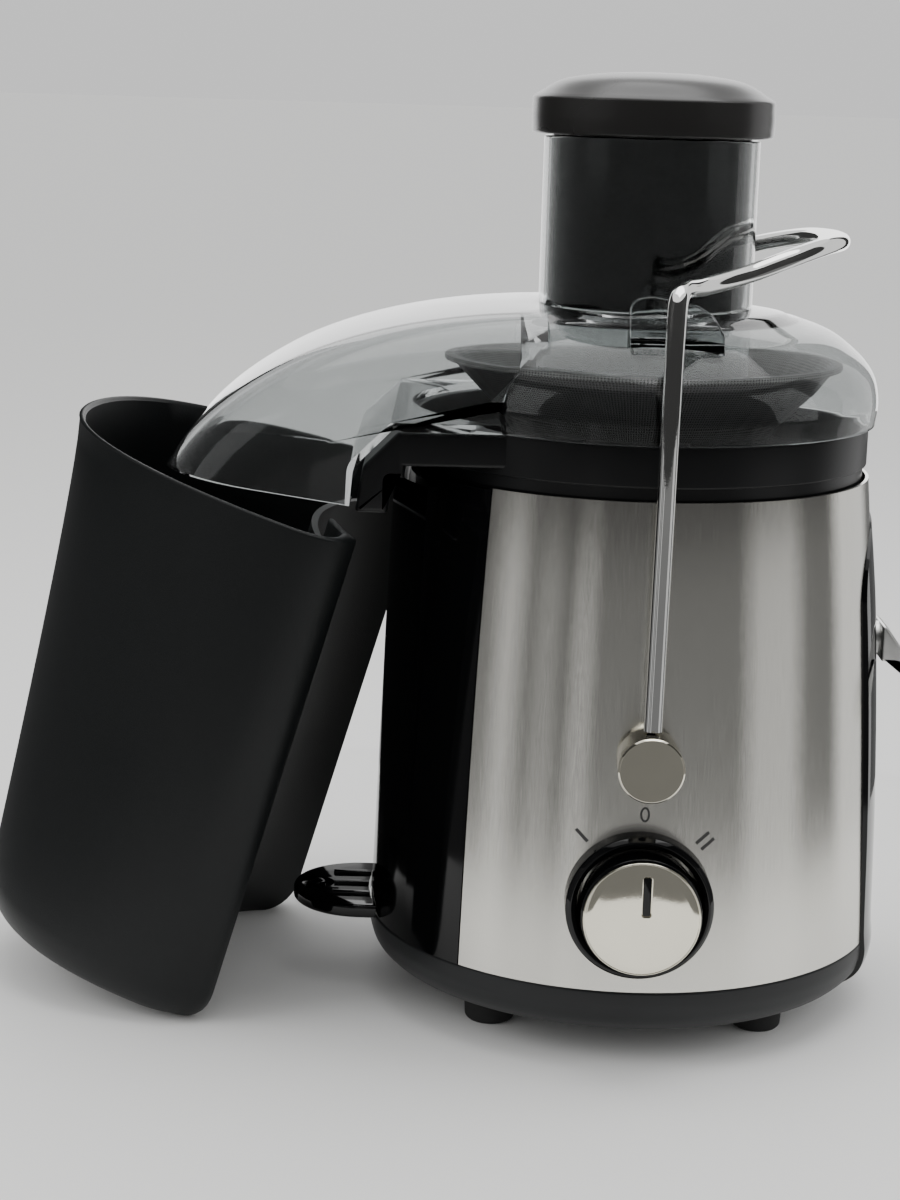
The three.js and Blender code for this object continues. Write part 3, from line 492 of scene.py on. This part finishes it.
def swept(name, path, radius, sides=20):
    """A round rod along a path, its ends closed."""
    row = [Vector(p) for p in path]
    loops = []
    side = None
    for i, here in enumerate(row):
        along = (row[min(i + 1, len(row) - 1)] - row[max(i - 1, 0)]).normalized()
        side = along.orthogonal() if side is None else side
        side = (side - along * side.dot(along)).normalized()
        other = along.cross(side)
        angles = [2 * math.pi * k / sides for k in range(sides)]
        loops.append([tuple(here + (side * math.cos(a) + other * math.sin(a)) * radius) for a in angles])
    return lofted(name, loops, 50)


def piece(made, body, material, slot, *nodes):
    """Gives a new mesh its finish and body, and hides the CAD nodes it stands for."""
    made.data.materials.clear()
    made.data.materials.append(material)
    for face in made.data.polygons:
        face.material_index = 0
    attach(made, body)
    if nodes:
        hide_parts(*nodes)
    return made


# ---------------------------------------------------------------- body skins
STEEL_BOTTOM, STEEL_TOP = 32.3, 216.5
WALL = np.array([[STEEL_BOTTOM, 103], [70, 101.4], [121, 98.9], [165, 95.9], [STEEL_TOP, 91.4]])
WALL_CURVE = np.polyfit(WALL[:, 0], WALL[:, 1], 3)
NEST_ANGLE, STRIP_ANGLE = 31, 50
ARCH_HALF, ARCH_SPRING, ARCH_TOP, ARCH_BOTTOM, ARCH_FOOT = 40, 166, 201, 12.5, 84
SEAM = 0.35


def wall_radius(z):
    return float(np.polyval(WALL_CURVE, z))


def wall_profile(depth, thickness, low, high, steps=26):
    """A thin wall that follows the body, its outer face depth inside the steel's."""
    heights = np.linspace(low, high, steps)
    outer = [(wall_radius(z) - depth, z) for z in heights]
    inner = [(wall_radius(z) - depth - thickness, z) for z in heights[::-1]]
    return outer + inner


def arch_prism(margin):
    half = ARCH_HALF + margin
    rise = ARCH_TOP + margin - ARCH_SPRING
    arc = [
        (half * math.cos(a), ARCH_SPRING + rise * math.sin(a))
        for a in np.linspace(0, math.pi, 49)
    ]
    outline = [(-half, ARCH_BOTTOM - 5), (half, ARCH_BOTTOM - 5), *arc]
    loops = [[(x, y, z) for y, z in outline] for x in (60, 130)]
    return lofted("arch_prism", loops)


def make_skins():
    sheet = wall_profile(0, 1.2, STEEL_BOTTOM, STEEL_TOP)
    skin = turned("steel_skin", sheet, 220, (STRIP_ANGLE, 360 - STRIP_ANGLE))
    holes = [
        facing_front(turned("hole", [(0, 80), (6, 80), (6, 120), (0, 120)], 32), 0, KNOB_Z),
        facing_front(turned("pin_hole", [(0, -120), (7.8, -120), (7.8, 120), (0, 120)], 32), PIVOT_X, PIVOT_Z),
    ]
    cut(skin, arch_prism(SEAM), *holes)
    piece(skin, "motor_base", STEEL_PAINTED_WARM_LIGHT, "brushed_steel", "steel_band")

    gap = 0.22
    spans = {"front": (NEST_ANGLE + gap, STRIP_ANGLE - gap), "rear": (-STRIP_ANGLE + gap, -NEST_ANGLE - gap)}
    strip = rounded(wall_profile(-0.3, 1.5, STEEL_BOTTOM, STEEL_TOP - 0.5, 14), 0)
    for side, span in spans.items():
        made = turned(f"cladding_strip_{side}", strip, 24, span)
        piece(made, "motor_base", GLOSS_BLACK, "gloss_black", f"left_strip_{side}")

    outer = smooth_path([(102.8, STEEL_BOTTOM), (102, 55), (100.2, 116), (99, 158), (97.6, 200), (97, 213)], 6)
    inner = [(wall_radius(z) - 1.2, z) for z in np.linspace(213, STEEL_BOTTOM, 20)]
    nest = turned("nest_panel", outer + inner, 70, (-NEST_ANGLE, NEST_ANGLE))
    piece(nest, "motor_base", GLOSS_BLACK, "gloss_black", "left_panel")

    face = [(89, ARCH_BOTTOM), (97.6, 15), (102.6, 19.5), (104.6, 26), (104, 36), (102.7, 79), (100.6, 122),
            (97.7, 164), (95.6, 184), (93.5, ARCH_TOP)]
    outer = [(ARCH_FOOT + SEAM, ARCH_BOTTOM), *smooth_path(face, 6)]
    inner = [(wall_radius(z) - 1.2, z) for z in np.linspace(ARCH_TOP, STEEL_BOTTOM + 1, 20)]
    back = [(100.3, 22), (95, 17), (ARCH_FOOT + SEAM, 16)]
    arch = common(turned("arch_panel", outer + inner + back, 120, (150, 210)), arch_prism(0))
    stub = moved(turned("hole", [(0, 70), (7, 70), (7, 112), (0, 112)], 32), (0, 0, 148.5),
                 Matrix.Rotation(math.pi / 2, 3, "Y"))
    piece(cut(arch, stub), "motor_base", GLOSS_BLACK, "gloss_black", "spout_panel")


# ---------------------------------------------------------------- base, feet and shelf
def make_base():
    inner = 60
    profile = rounded(
        [(inner, 12.5), (88, 12.5), (96.5, 15), (101.3, 19.5), (103.1, 26), (103.1, 32), (99.9, 32), (99.9, 21),
         (95, 16), (inner, 16)],
        [0.5, 12, 9, 9, 12, 0.9, 0.5, 4, 4, 0.5],
    )
    tray = turned("base_skirt", profile, 200)
    past = 110
    foot = turned("arch_foot", [(ARCH_FOOT, 10), (past, 10), (past, 40), (ARCH_FOOT, 40)], 120, (150, 210))
    cut(tray, common(foot, arch_prism(SEAM)))
    piece(tray, "motor_base", GREY_BLACK, "satin_black", "base_tray")

    for corner in ("front_left", "front_right", "rear_left", "rear_right"):
        low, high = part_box(f"foot_{corner}")
        middle = (low + high) / 2 - AXIS
        profile = rounded([(0, 0), (8.5, 0), (9.8, 1.2), (10.5, 12.2), (0, 12.2)], [0, 0.8, 2, 0.4, 0])
        rings = [(0, 0), (3, 0), (3, 0.7), (5.2, 0.7), (5.2, 0), *profile[1:]]
        foot = moved(turned(f"rubber_foot_{corner}", rings, 48), (middle.x / MM, middle.y / MM, 0))
        piece(foot, "motor_base", RUBBER, "rubber", f"foot_{corner}")


def make_shelf():
    half, reach, low, high = 28, 135, 31.5, 37
    end = reach - half
    arc = [
        (-end - half * math.sin(a), half * math.cos(a))
        for a in np.linspace(0, math.pi, 41)
    ]
    outline = [(-96, half), *arc, (-96, -half)]
    shelf = slab("dock_shelf", outline, low, high, 1.4, upright=True)
    for y in (-13, 0, 13):
        join(shelf, block("ridge", (-119, -96.5), (y - 1.5, y + 1.5), (high - 1, high + 1.2), 0.5))
    dish = [(0, high - 1.6), (6, high - 1.6), (7, high - 1), (7, high + 3), (0, high + 3)]
    cut(shelf, moved(turned("dish", dish, 48), (-125, 0, 0)))
    peg = rounded([(0, high - 3), (3.2, high - 3), (3.2, high + 0.8), (0, high + 0.8)], [0, 0, 0.7, 0])
    join(shelf, moved(turned("peg", peg, 32), (-125, 0, 0)))
    clearance = [(0, 20), (103.9, 20), (103.9, STEEL_BOTTOM), (102.9, 60), (0, 60)]
    cut(shelf, turned("clearance", clearance, 160))
    piece(shelf, "motor_base", GLOSS_BLACK, "satin_black", "support_tab")


# ---------------------------------------------------------------- juice collector and spout
def make_collector():
    bowl = rounded(
        [(24, 203), (80, 203), (86.8, 210), (88.8, 217), (88.8, 221.5), (90.2, 221.5), (90.2, 237), (87.4, 237),
         (87.4, 224), (84.6, 212), (79, 206), (27, 206), (27, 222), (24, 222)],
        [0.5, 6, 6, 1.5, 0.4, 0.9, 0.9, 0.6, 1, 5, 4, 2, 1, 1],
    )
    ring = turned("collector_ring", bowl, 200)
    outline = rounded(
        [(-50, 237), (-94.4, 237), (-107.4, 223.8), (-110, 206.3), (-97.8, 206.3), (-97.8, 219.4),
         (-91.8, 219.4), (-91.8, 224), (-50, 224)],
        [0, 4, 5, 1.2, 1.2, 1, 0.8, 0, 0],
    )
    bracket = slab("bracket", outline, -72, 72, 2)
    inside = turned("inside", [(0, 190), (88.5, 190), (88.5, 250), (0, 250)], 160)
    join(ring, cut(bracket, inside))
    outlet = moved(turned("outlet", [(0, 195), (9.6, 195), (9.6, 210), (0, 210)], 40), (72, 0, 0))
    piece(cut(ring, outlet), "motor_base", SATIN_BLACK, "satin_black", "juice_collector")


def make_spout():
    half, height, reach = 12, 148.5, 135
    outline = rounded(
        [(100.6, 141), (100.6, 156.3), (103.5, 154), (110, 145), (reach, 116.5), (reach, 109.5), (112, 136),
         (107.8, 140.6)],
        [1, 1, 3, 6, 1, 1.5, 6, 3],
    )
    spout = slab("pour_spout", outline, -half, half, 1)
    channel = rounded(
        [(102.8, 143.4), (102.8, 151.8), (107, 150), (116, 160), (160, 120), (160, 85), (112.9, 138.4),
         (108.7, 143)],
        [1, 1, 0, 0, 0, 0, 6, 3],
    )
    lying = Matrix.Rotation(math.pi / 2, 3, "Y")
    stub = moved(turned("stub", [(0, 84.5), (6.6, 84.5), (6.6, 102), (0, 102)], 40), (0, 0, height), lying)
    bore = moved(turned("bore", [(0, 60), (4.6, 60), (4.6, 104), (0, 104)], 40), (0, 0, height), lying)
    join(spout, stub)
    cut(spout, slab("channel", channel, 2 - half, half - 2, 1.2), bore)
    piece(spout, "motor_base", PALE_CHROME, "grey_plastic", "juice_spout")


# ---------------------------------------------------------------- lid
LID_BOTTOM, LID_WALL = 237.3, 2.4
DOME = [(92.4, LID_BOTTOM), (93.2, 246), (91.5, 255), (87.9, 260.9), (82, 266.6), (73.7, 272.3), (61.6, 276.7)]
CROWN = [(57.2, 277.7), (55.6, 278.5), (50, 279.4), (42, 280.1), (0, 281)]
CHUTE_HALF, CHUTE_EDGE = 74, 31
OUTLET_LEFT, OUTLET_RIGHT = 219, 209


def chute_form(name, wall, side):
    """The curved chute with crowned edges, drawn in by a wall and kept inside a side outline."""
    top = bezier([(-30, 280.4), (-75, 280.6), (-112, 272.2), (-137, 259.6)], 14)
    top += bezier([(-137, 259.6), (-160, 247.5), (-178, 232), (-184.6, 216)], 14)
    outline = [*top, (-184.6, 216), (-211.8, 150), (-30, 150)]
    form = slab(name, inset(outline, wall), wall - CHUTE_HALF, CHUTE_HALF - wall, CHUTE_EDGE - wall, 8)
    return common(form, slab("side", side, -80, 80))


def make_lid():
    outer_side = rounded(
        [(-200, 300), (-200, OUTLET_LEFT + 1), (-185, OUTLET_LEFT), (-112, OUTLET_RIGHT), (-110.8, 223.4),
         (-96.2, 238.2), (-92, LID_BOTTOM), (-40, LID_BOTTOM), (-40, 300)],
        [0, 0, 0, 0, 6, 0, 0, 0, 0],
    )
    inner_side = rounded(
        [(-200, 300), (-200, OUTLET_LEFT - 20), (-112 - LID_WALL, OUTLET_RIGHT - 20),
         (-110.8 - LID_WALL, 224.4), (-97.2, LID_BOTTOM + 3), (-50, LID_BOTTOM + 3), (-50, 300)],
        [0, 0, 0, 8, 0, 0, 0],
    )
    curve = smooth_path(DOME, 6)
    lid = turned("clear_lid", [(0, LID_BOTTOM), *curve, *CROWN], 200, crease=40)
    shrunk = [(r - LID_WALL * 0.9, z - LID_WALL * 0.75) for r, z in curve[6:]]
    hollow = [(0, LID_BOTTOM - 2), (DOME[0][0] - LID_WALL, LID_BOTTOM - 2), *shrunk, (0, 281 - LID_WALL)]
    join(lid, chute_form("chute", 0, outer_side))
    lug = rounded(
        [(-10, 266), (-10.8, 286.4), (-8, 288.9), (-2.6, 289.8), (13.9, 286.8), (19.4, 283.6), (24, 276.4),
         (24.3, 266)],
        [0, 4, 4, 8, 8, 6, 3, 0],
    )
    for y in (-72, 72):
        join(lid, slab("lug", lug, y - 3.5, y + 3.5, 0.8))
    cut(lid, turned("hollow", hollow, 200), chute_form("chute_hollow", LID_WALL, inner_side))
    bore, skirt, top = 39.5, 251, 345
    tube = rounded([(0, skirt), (42, skirt), (42, top), (0, top)], [0, 0.6, 1, 0])
    join(lid, turned("tube", tube, 160))
    cut(lid, turned("bore", [(0, skirt - 5), (bore, skirt - 5), (bore, top + 5), (0, top + 5)], 160))
    piece(shade(lid, 38), "motor_base", SMOKE, "smoke_clear", "lid", "feed_tube")


# ---------------------------------------------------------------- pusher
def make_pusher():
    cup = rounded(
        [(0, 280), (35.9, 280), (38.1, 281), (38.9, 284), (38.9, 345.4), (36.3, 345.4), (36.3, 282.6),
         (0, 282.6)],
        [0, 1.5, 2, 3, 0.8, 0.8, 2, 0],
    )
    piece(turned("pusher_cup", cup, 160), "pusher", PUSHER_BLACK, "gloss_black", "pusher_body")
    crown = smooth_path([(45.2, 360.9), (36, 366.2), (20, 369.1), (0, 369.9)], 8)
    radii = [0, 1.2, 6, 1.6, 2, *[0] * (len(crown) - 1)]
    top = rounded([(0, 345.8), (46.9, 345.8), (47.2, 352), (47, 359.7), *crown], radii)
    piece(turned("pusher_top", top, 180, crease=40), "pusher", CHARCOAL, "charcoal", "pusher_cap")


# ---------------------------------------------------------------- locking arm
PIVOT_X, PIVOT_Z, WIRE = 1.2, 122.5, 3.5
ARM_HALF = [
    (1.8, -107, PIVOT_Z + 12.6), (2.2, -106, 170), (3, -104, 230), (3.6, -102.6, 281), (4.4, -99.5, 291),
    (7, -92.5, 293.7), (15, -77, 294), (34, -56, 297.6), (52, -44, 303.4), (66, -29, 307), (73.6, -13, 307.6),
]


def make_arm():
    rear = [(x, -y, z) for x, y, z in reversed(ARM_HALF)]
    path = smooth_path([*ARM_HALF, (75.4, 0, 307.4), *rear], 7)
    piece(swept("arm_rod", path, WIRE, 24), "locking_arm", CHROME, "chrome", "arm_wire")
    profile = rounded([(0, 100.4), (11, 100.4), (12.2, 102), (12.2, 116.7), (11.6, 117.4), (0, 117.4)],
                      [0, 1, 1, 0.3, 0.3, 0])
    for side, turn in (("front", 0), ("rear", math.pi)):
        boss = facing_front(turned(f"boss_{side}", profile, 96), 0, 0)
        moved(boss, (PIVOT_X, 0, PIVOT_Z), Matrix.Rotation(turn, 3, "Z"))
        piece(boss, "locking_arm", CHROME_PAINTED_WARM_REFLECTION, "chrome", f"arm_boss_{side}")


# ---------------------------------------------------------------- speed knob and dial marks
KNOB_Z = 67


def make_knob():
    bezel = rounded([(23.1, 96), (27.6, 96), (27.6, 107.5), (25.9, 109.5), (23.9, 108.6), (23.1, 105)],
                    [0, 0, 1.4, 0.9, 0.8, 1])
    shroud = facing_front(turned("dial_bezel", bezel, 120), 0, KNOB_Z)
    clad = [(wall_radius(z) + 0.3, z) for z in np.linspace(34, 110, 20)]
    cut(shroud, turned("clad", [(0, 34), *clad, (0, 110)], 200))
    piece(shroud, "motor_base", GLOSS_BLACK, "gloss_black", "knob_bezel")

    grip = rounded([(0, 104.6), (22.3, 104.6), (22.3, 117.2), (21.6, 117.7), (0, 117.7)], [0, 0.6, 0.6, 0.3, 0])
    made = facing_front(turned("dial_grip", grip, 96), 0, KNOB_Z)
    piece(made, "speed_knob", GLOSS_BLACK, "gloss_black", "knob_body")

    crown = smooth_path([(20.9, 120.1), (12, 120.45), (0, 120.6)], 6)
    face = [(0, 118), *rounded([(21.5, 118), (21.7, 119.4), (20.9, 120.1)], [0.2, 0.6, 0.3]), *crown[1:]]
    disc = facing_front(turned("dial_face", face, 120, crease=50), 0, KNOB_Z)
    slot = rounded([(-0.4, KNOB_Z + 1), (3.4, KNOB_Z + 1), (3.4, KNOB_Z + 16.6), (-0.4, KNOB_Z + 16.6)], 1.2)
    cut(disc, slab("slot", slot, -124, -118.9))
    piece(disc, "speed_knob", CHROME_PAINTED_WARM_REFLECTION, "chrome", "knob_face")
    bar = rounded([(0, KNOB_Z + 1.4), (3, KNOB_Z + 1.4), (3, KNOB_Z + 16.2), (0, KNOB_Z + 16.2)], 1)
    pointer = slab("dial_pointer", bar, -120.1, -118.3, 0.3)
    piece(pointer, "speed_knob", GLOSS_BLACK, "gloss_black", "knob_pointer")


def on_steel(name, outline, proud=0.12):
    """A thin printed shape that hugs the steel: an (x, z) outline seen from the front."""
    def lay(depth):
        return [(x, -math.sqrt((wall_radius(z) + depth) ** 2 - x * x), z) for x, z in inset(outline, 0)]
    return lofted(name, [lay(-0.1), lay(proud)])


def make_marks():
    """The dial's positions: off at the top, one to the left and two to the right."""
    def bar(x, z, tilt, shift=0.0):
        long, wide = 3.1, 0.62
        turn = Matrix.Rotation(math.radians(tilt), 2)
        corners = [(-wide + shift, -long), (wide + shift, -long), (wide + shift, long), (-wide + shift, long)]
        return [tuple(Vector((x, z)) + turn @ Vector(p)) for p in corners]

    marks = on_steel("dial_mark_one", bar(-22, 91.8, 45))
    piece(marks, "motor_base", MARK, "satin_black")
    two = join(on_steel("dial_mark_two", bar(24, 90.8, -49, -1.6)), on_steel("bar", bar(24, 90.8, -49, 1.6)))
    piece(two, "motor_base", MARK, "satin_black")

    def oval(wide, high):
        angles = np.linspace(0, 2 * math.pi, 33)[:-1]
        return [(1 + wide * math.cos(a), 101 + high * math.sin(a)) for a in angles]

    zero = cut(on_steel("dial_mark_off", oval(1.85, 2.9)), slab("eye", oval(1.05, 2.1), -120, -80))
    piece(zero, "motor_base", MARK, "satin_black")


# ---------------------------------------------------------------- pulp container
BIN_BOTTOM, BIN_RIM, BIN_WALL, BIN_NEST = 0.5, 208.5, 2.6, 105


def bin_plan(depth):
    """The container's plan outline when docked, drawn in by a depth."""
    nest = BIN_NEST + depth
    tip_y = 70 - depth * 1.6
    tip = (-math.sqrt(nest**2 - tip_y**2), tip_y)
    wide, reach = 88 - depth, 210 - depth
    outline = bezier([(tip[0], -tip[1]), (-80 - depth, -87 + depth), (-99, -wide)], 10)
    outline += bezier([(-99, -wide), (-165, 2 - wide), (-reach, -55), (-reach, 0)], 26)
    outline += bezier([(-reach, 0), (-reach, 55), (-165, wide - 2), (-99, wide)], 26)
    outline += bezier([(-99, wide), (-80 - depth, 87 - depth), tip], 10)
    angle = math.atan2(tip[1], tip[0])
    arc = np.linspace(angle, 2 * math.pi - angle, 31)
    return outline + [(nest * math.cos(a), nest * math.sin(a)) for a in arc[:-1]]


def bin_loop(depth, rise, height):
    """One level of the container: tapered towards its foot, and rounded where it meets the floor."""
    share = rise / (BIN_RIM - BIN_BOTTOM)
    taper = max(0.0, 1 - share)
    foot_height, foot_inset = 16, 11
    lift = min(1.0, rise / foot_height)
    round_in = foot_inset * (1 - math.sqrt(1 - (1 - lift) ** 2))
    loop = []
    for x, y in bin_plan(depth):
        away = min(1.0, max(0.0, (math.hypot(x, y) - BIN_NEST) / 15))
        y -= taper * away * (8 / 88) * y
        x += taper**0.7 * away * 17 * min(1.0, max(0.0, (-105 - x) / 105))
        x += (-142 - x) * round_in / 60
        y -= y * round_in / 75
        loop.append((x, y, height))
    return loop


def make_container():
    tall = BIN_RIM - BIN_BOTTOM
    rises = [0, 0.3, 1, 2.2, 4, 6.5, 9.5, 13, 16, *np.linspace(26, tall - 1.3, 22)]
    outer = [bin_loop(0, rise, BIN_BOTTOM + rise) for rise in rises]
    rim = [
        bin_loop(BIN_WALL / 2 * (1 - math.cos(a)), tall, BIN_RIM - 1.3 + 1.3 * math.sin(a))
        for a in np.linspace(0.3, math.pi - 0.3, 6)
    ]
    inner = [
        bin_loop(BIN_WALL, rise, BIN_BOTTOM + rise + BIN_WALL * (1 - rise / tall)) for rise in reversed(rises)
    ]
    shell = lofted("bin_shell", [*outer, *rim, *inner], 38)

    def pocket(grow):
        return block("pocket", (-139 - grow, -60), (-32 - grow, 32 + grow), (-10, 39.5 + grow), 3)

    full = lofted("bin_full", [*outer, bin_loop(0, tall, BIN_RIM)])
    join(shell, common(pocket(BIN_WALL), full))
    cut(shell, pocket(0), block("rim_notch", (-116, -60), (-53, 53), (198, BIN_RIM + 10), 4))
    joint = next(j for j in frame["joints"] if j["child"] == "pulp_container")
    pivot = Vector(joint["pos_m"])
    lean = Matrix.Rotation(-math.radians(joint["range_deg"][1]), 4, Vector(joint["axis"]))
    shell.data.transform(Matrix.Translation(pivot) @ lean @ Matrix.Translation(-pivot))
    piece(shade(shell, 38), "pulp_container", MATTE_BLACK, "matte_black", "pulp_container")


# ---------------------------------------------------------------- grating teeth
def make_teeth():
    """Rows of small raised cutters on the grating disc."""
    deck = 237
    corners = ((-1.2, -0.9, 0), (1.2, -0.9, 0), (1.2, 0.9, 0), (-1.2, 0.9, 0), (0, -0.5, 1.5))
    points, faces = [], []
    rows, per_row = 6, 9
    for row in range(rows):
        for k in range(per_row):
            radius = 14 + 3.5 * k
            angle = 2 * math.pi * (row + 0.06 * k) / rows
            cos, sin = math.cos(angle), math.sin(angle)
            for dx, dy, dz in corners:
                x, y = radius + dx, dy
                points.append((x * cos - y * sin, x * sin + y * cos, deck + dz))
            at = len(points) - 5
            faces += [(at + 3, at + 2, at + 1, at), *[(at + i, at + (i + 1) % 4, at + 4) for i in range(4)]]
    piece(solid("grating_teeth", points, faces, 10), "rotor", MACHINED, "machined_steel")


# ---------------------------------------------------------------- finishes of the CAD nodes that stay
FINISHES = {
    "satin_black": SATIN_BLACK,
    "gloss_black": GLOSS_BLACK,
    "matte_black": MATTE_BLACK,
    "charcoal": CHARCOAL,
    "brushed_steel": STEEL_PAINTED_WARM_LIGHT,
    "machined_steel": MACHINED,
    "chrome": CHROME,
    "smoke_clear": SMOKE,
    "grey_plastic": GREY_PLASTIC,
    "rubber": RUBBER,
    "winding_copper": COPPER,
    "lamination": LAMINATION,
    "brass": BRASS,
    "carbon": CARBON,
}


def finish_nodes():
    slots = {part["node"]: part["material_slot"] for part in frame["record"]["subparts"]}
    for name, node in frame["nodes"].items():
        material = MESH if name == "filter_basket" else FINISHES[slots[name]]
        node.data.materials.clear()
        node.data.materials.append(material)


# ---------------------------------------------------------------- studio
def make_floor():
    mesh = bpy.data.meshes.new("floor")
    half = 40
    corners = [(-half, -half, 0), (half, -half, 0), (half, half, 0), (-half, half, 0)]
    mesh.from_pydata(corners, [], [(0, 1, 2, 3)])
    floor = bpy.data.objects.new("floor", mesh)
    bpy.context.scene.collection.objects.link(floor)
    mesh.materials.append(Shader("floor", (0.8, 0.8, 0.79), 0.6).material)


def make_world():
    world = bpy.data.worlds.new("studio")
    bpy.context.scene.world = world
    world.use_nodes = True
    nodes, links = world.node_tree.nodes, world.node_tree.links
    xyz = nodes.new("ShaderNodeSeparateXYZ")
    ramp = nodes.new("ShaderNodeValToRGB")
    for stop, (position, tone) in zip(ramp.color_ramp.elements, ((0.02, 0.815), (0.5, 1.05))):
        stop.position = position
        stop.color = (tone, tone, tone, 1)
    links.new(nodes.new("ShaderNodeTexCoord").outputs["Generated"], xyz.inputs[0])
    links.new(xyz.outputs["Z"], ramp.inputs["Fac"])
    links.new(ramp.outputs["Color"], nodes["Background"].inputs["Color"])
    nodes["Background"].inputs["Strength"].default_value = 1.0


def area_light(name, location, target, size, power, color=(1, 1, 1)):
    data = bpy.data.lights.new(name, "AREA")
    data.shape = "RECTANGLE"
    data.size, data.size_y = size
    data.energy = power
    data.color = color
    light = bpy.data.objects.new(name, data)
    bpy.context.scene.collection.objects.link(light)
    light.location = location
    light.rotation_mode = "QUATERNION"
    light.rotation_quaternion = (Vector(target) - Vector(location)).to_track_quat("-Z", "Y")


# Plain neutral cards round the object: the first and last compass angle, from -Y towards +X,
# the lower and upper edge in metres, and the tone.
TABLE, LOW, TALL = 0.001, 0.2, 0.55
CARD_RADIUS, CARD_GAP, CARD_STEP = 0.36, 0.002, 4
CARDS = {
    "surround_low": (-180, 180, TABLE, LOW, 0.18),
    "surround_high": (-180, 180, LOW, TALL, 0.04),
    "left_strip": (-60, -50, TABLE, LOW, 0.5),
    "middle_strip": (-40, -35, TABLE, LOW, 0.4),
    "front_strip": (-25, -20, TABLE, LOW, 0.6),
    "right_box": (45, 70, TABLE, LOW, 0.6),
    "right_edge": (95, 130, TABLE, TALL, 0.9),
    "back_right_strip": (150, 165, TABLE, LOW, 0.6),
    "back_left_strip": (200, 220, TABLE, LOW, 0.6),
    "back_high": (140, 220, LOW, TALL, 2.5),
}


def make_card(name, first, last, low, high, tone, radius):
    """One upright card, bent round the object's axis, that shows only in reflections."""
    steps = round((last - first) / CARD_STEP)
    points = []
    for angle in np.radians(np.linspace(first, last, steps + 1)):
        points += [(radius * math.sin(angle), -radius * math.cos(angle), z) for z in (low, high)]
    mesh = bpy.data.meshes.new(name)
    mesh.from_pydata(points, [], [(2 * k, 2 * k + 2, 2 * k + 3, 2 * k + 1) for k in range(steps)])
    card = bpy.data.objects.new(name, mesh)
    bpy.context.scene.collection.objects.link(card)
    card.location = AXIS
    card.visible_camera = card.visible_diffuse = card.visible_shadow = card.visible_transmission = False
    made = Shader(name, (0, 0, 0), 1)
    glow = made.node("ShaderNodeEmission")
    glow.inputs["Strength"].default_value = tone
    made.link(glow.outputs[0], made.tree.nodes["Material Output"].inputs["Surface"])
    mesh.materials.append(made.material)


def make_cards():
    for order, (name, card) in enumerate(CARDS.items()):
        make_card(name, *card, radius=CARD_RADIUS - CARD_GAP * order)


def make_studio():
    make_floor()
    make_world()
    make_cards()
    area_light("overhead", (0.1, 0.1, 1.3), (0, 0, 0.15), (1.2, 1.0), 9)
    area_light("left_fill", (-1.1, -0.5, 0.75), (0, 0, 0.15), (0.7, 0.9), 5)
    area_light("right_fill", (1.2, -0.3, 0.7), (0, 0, 0.15), (0.6, 0.9), 4)


make_skins()
make_base()
make_shelf()
make_collector()
make_spout()
make_lid()
make_pusher()
make_arm()
make_knob()
make_marks()
make_container()
make_teeth()
finish_nodes()
make_studio()
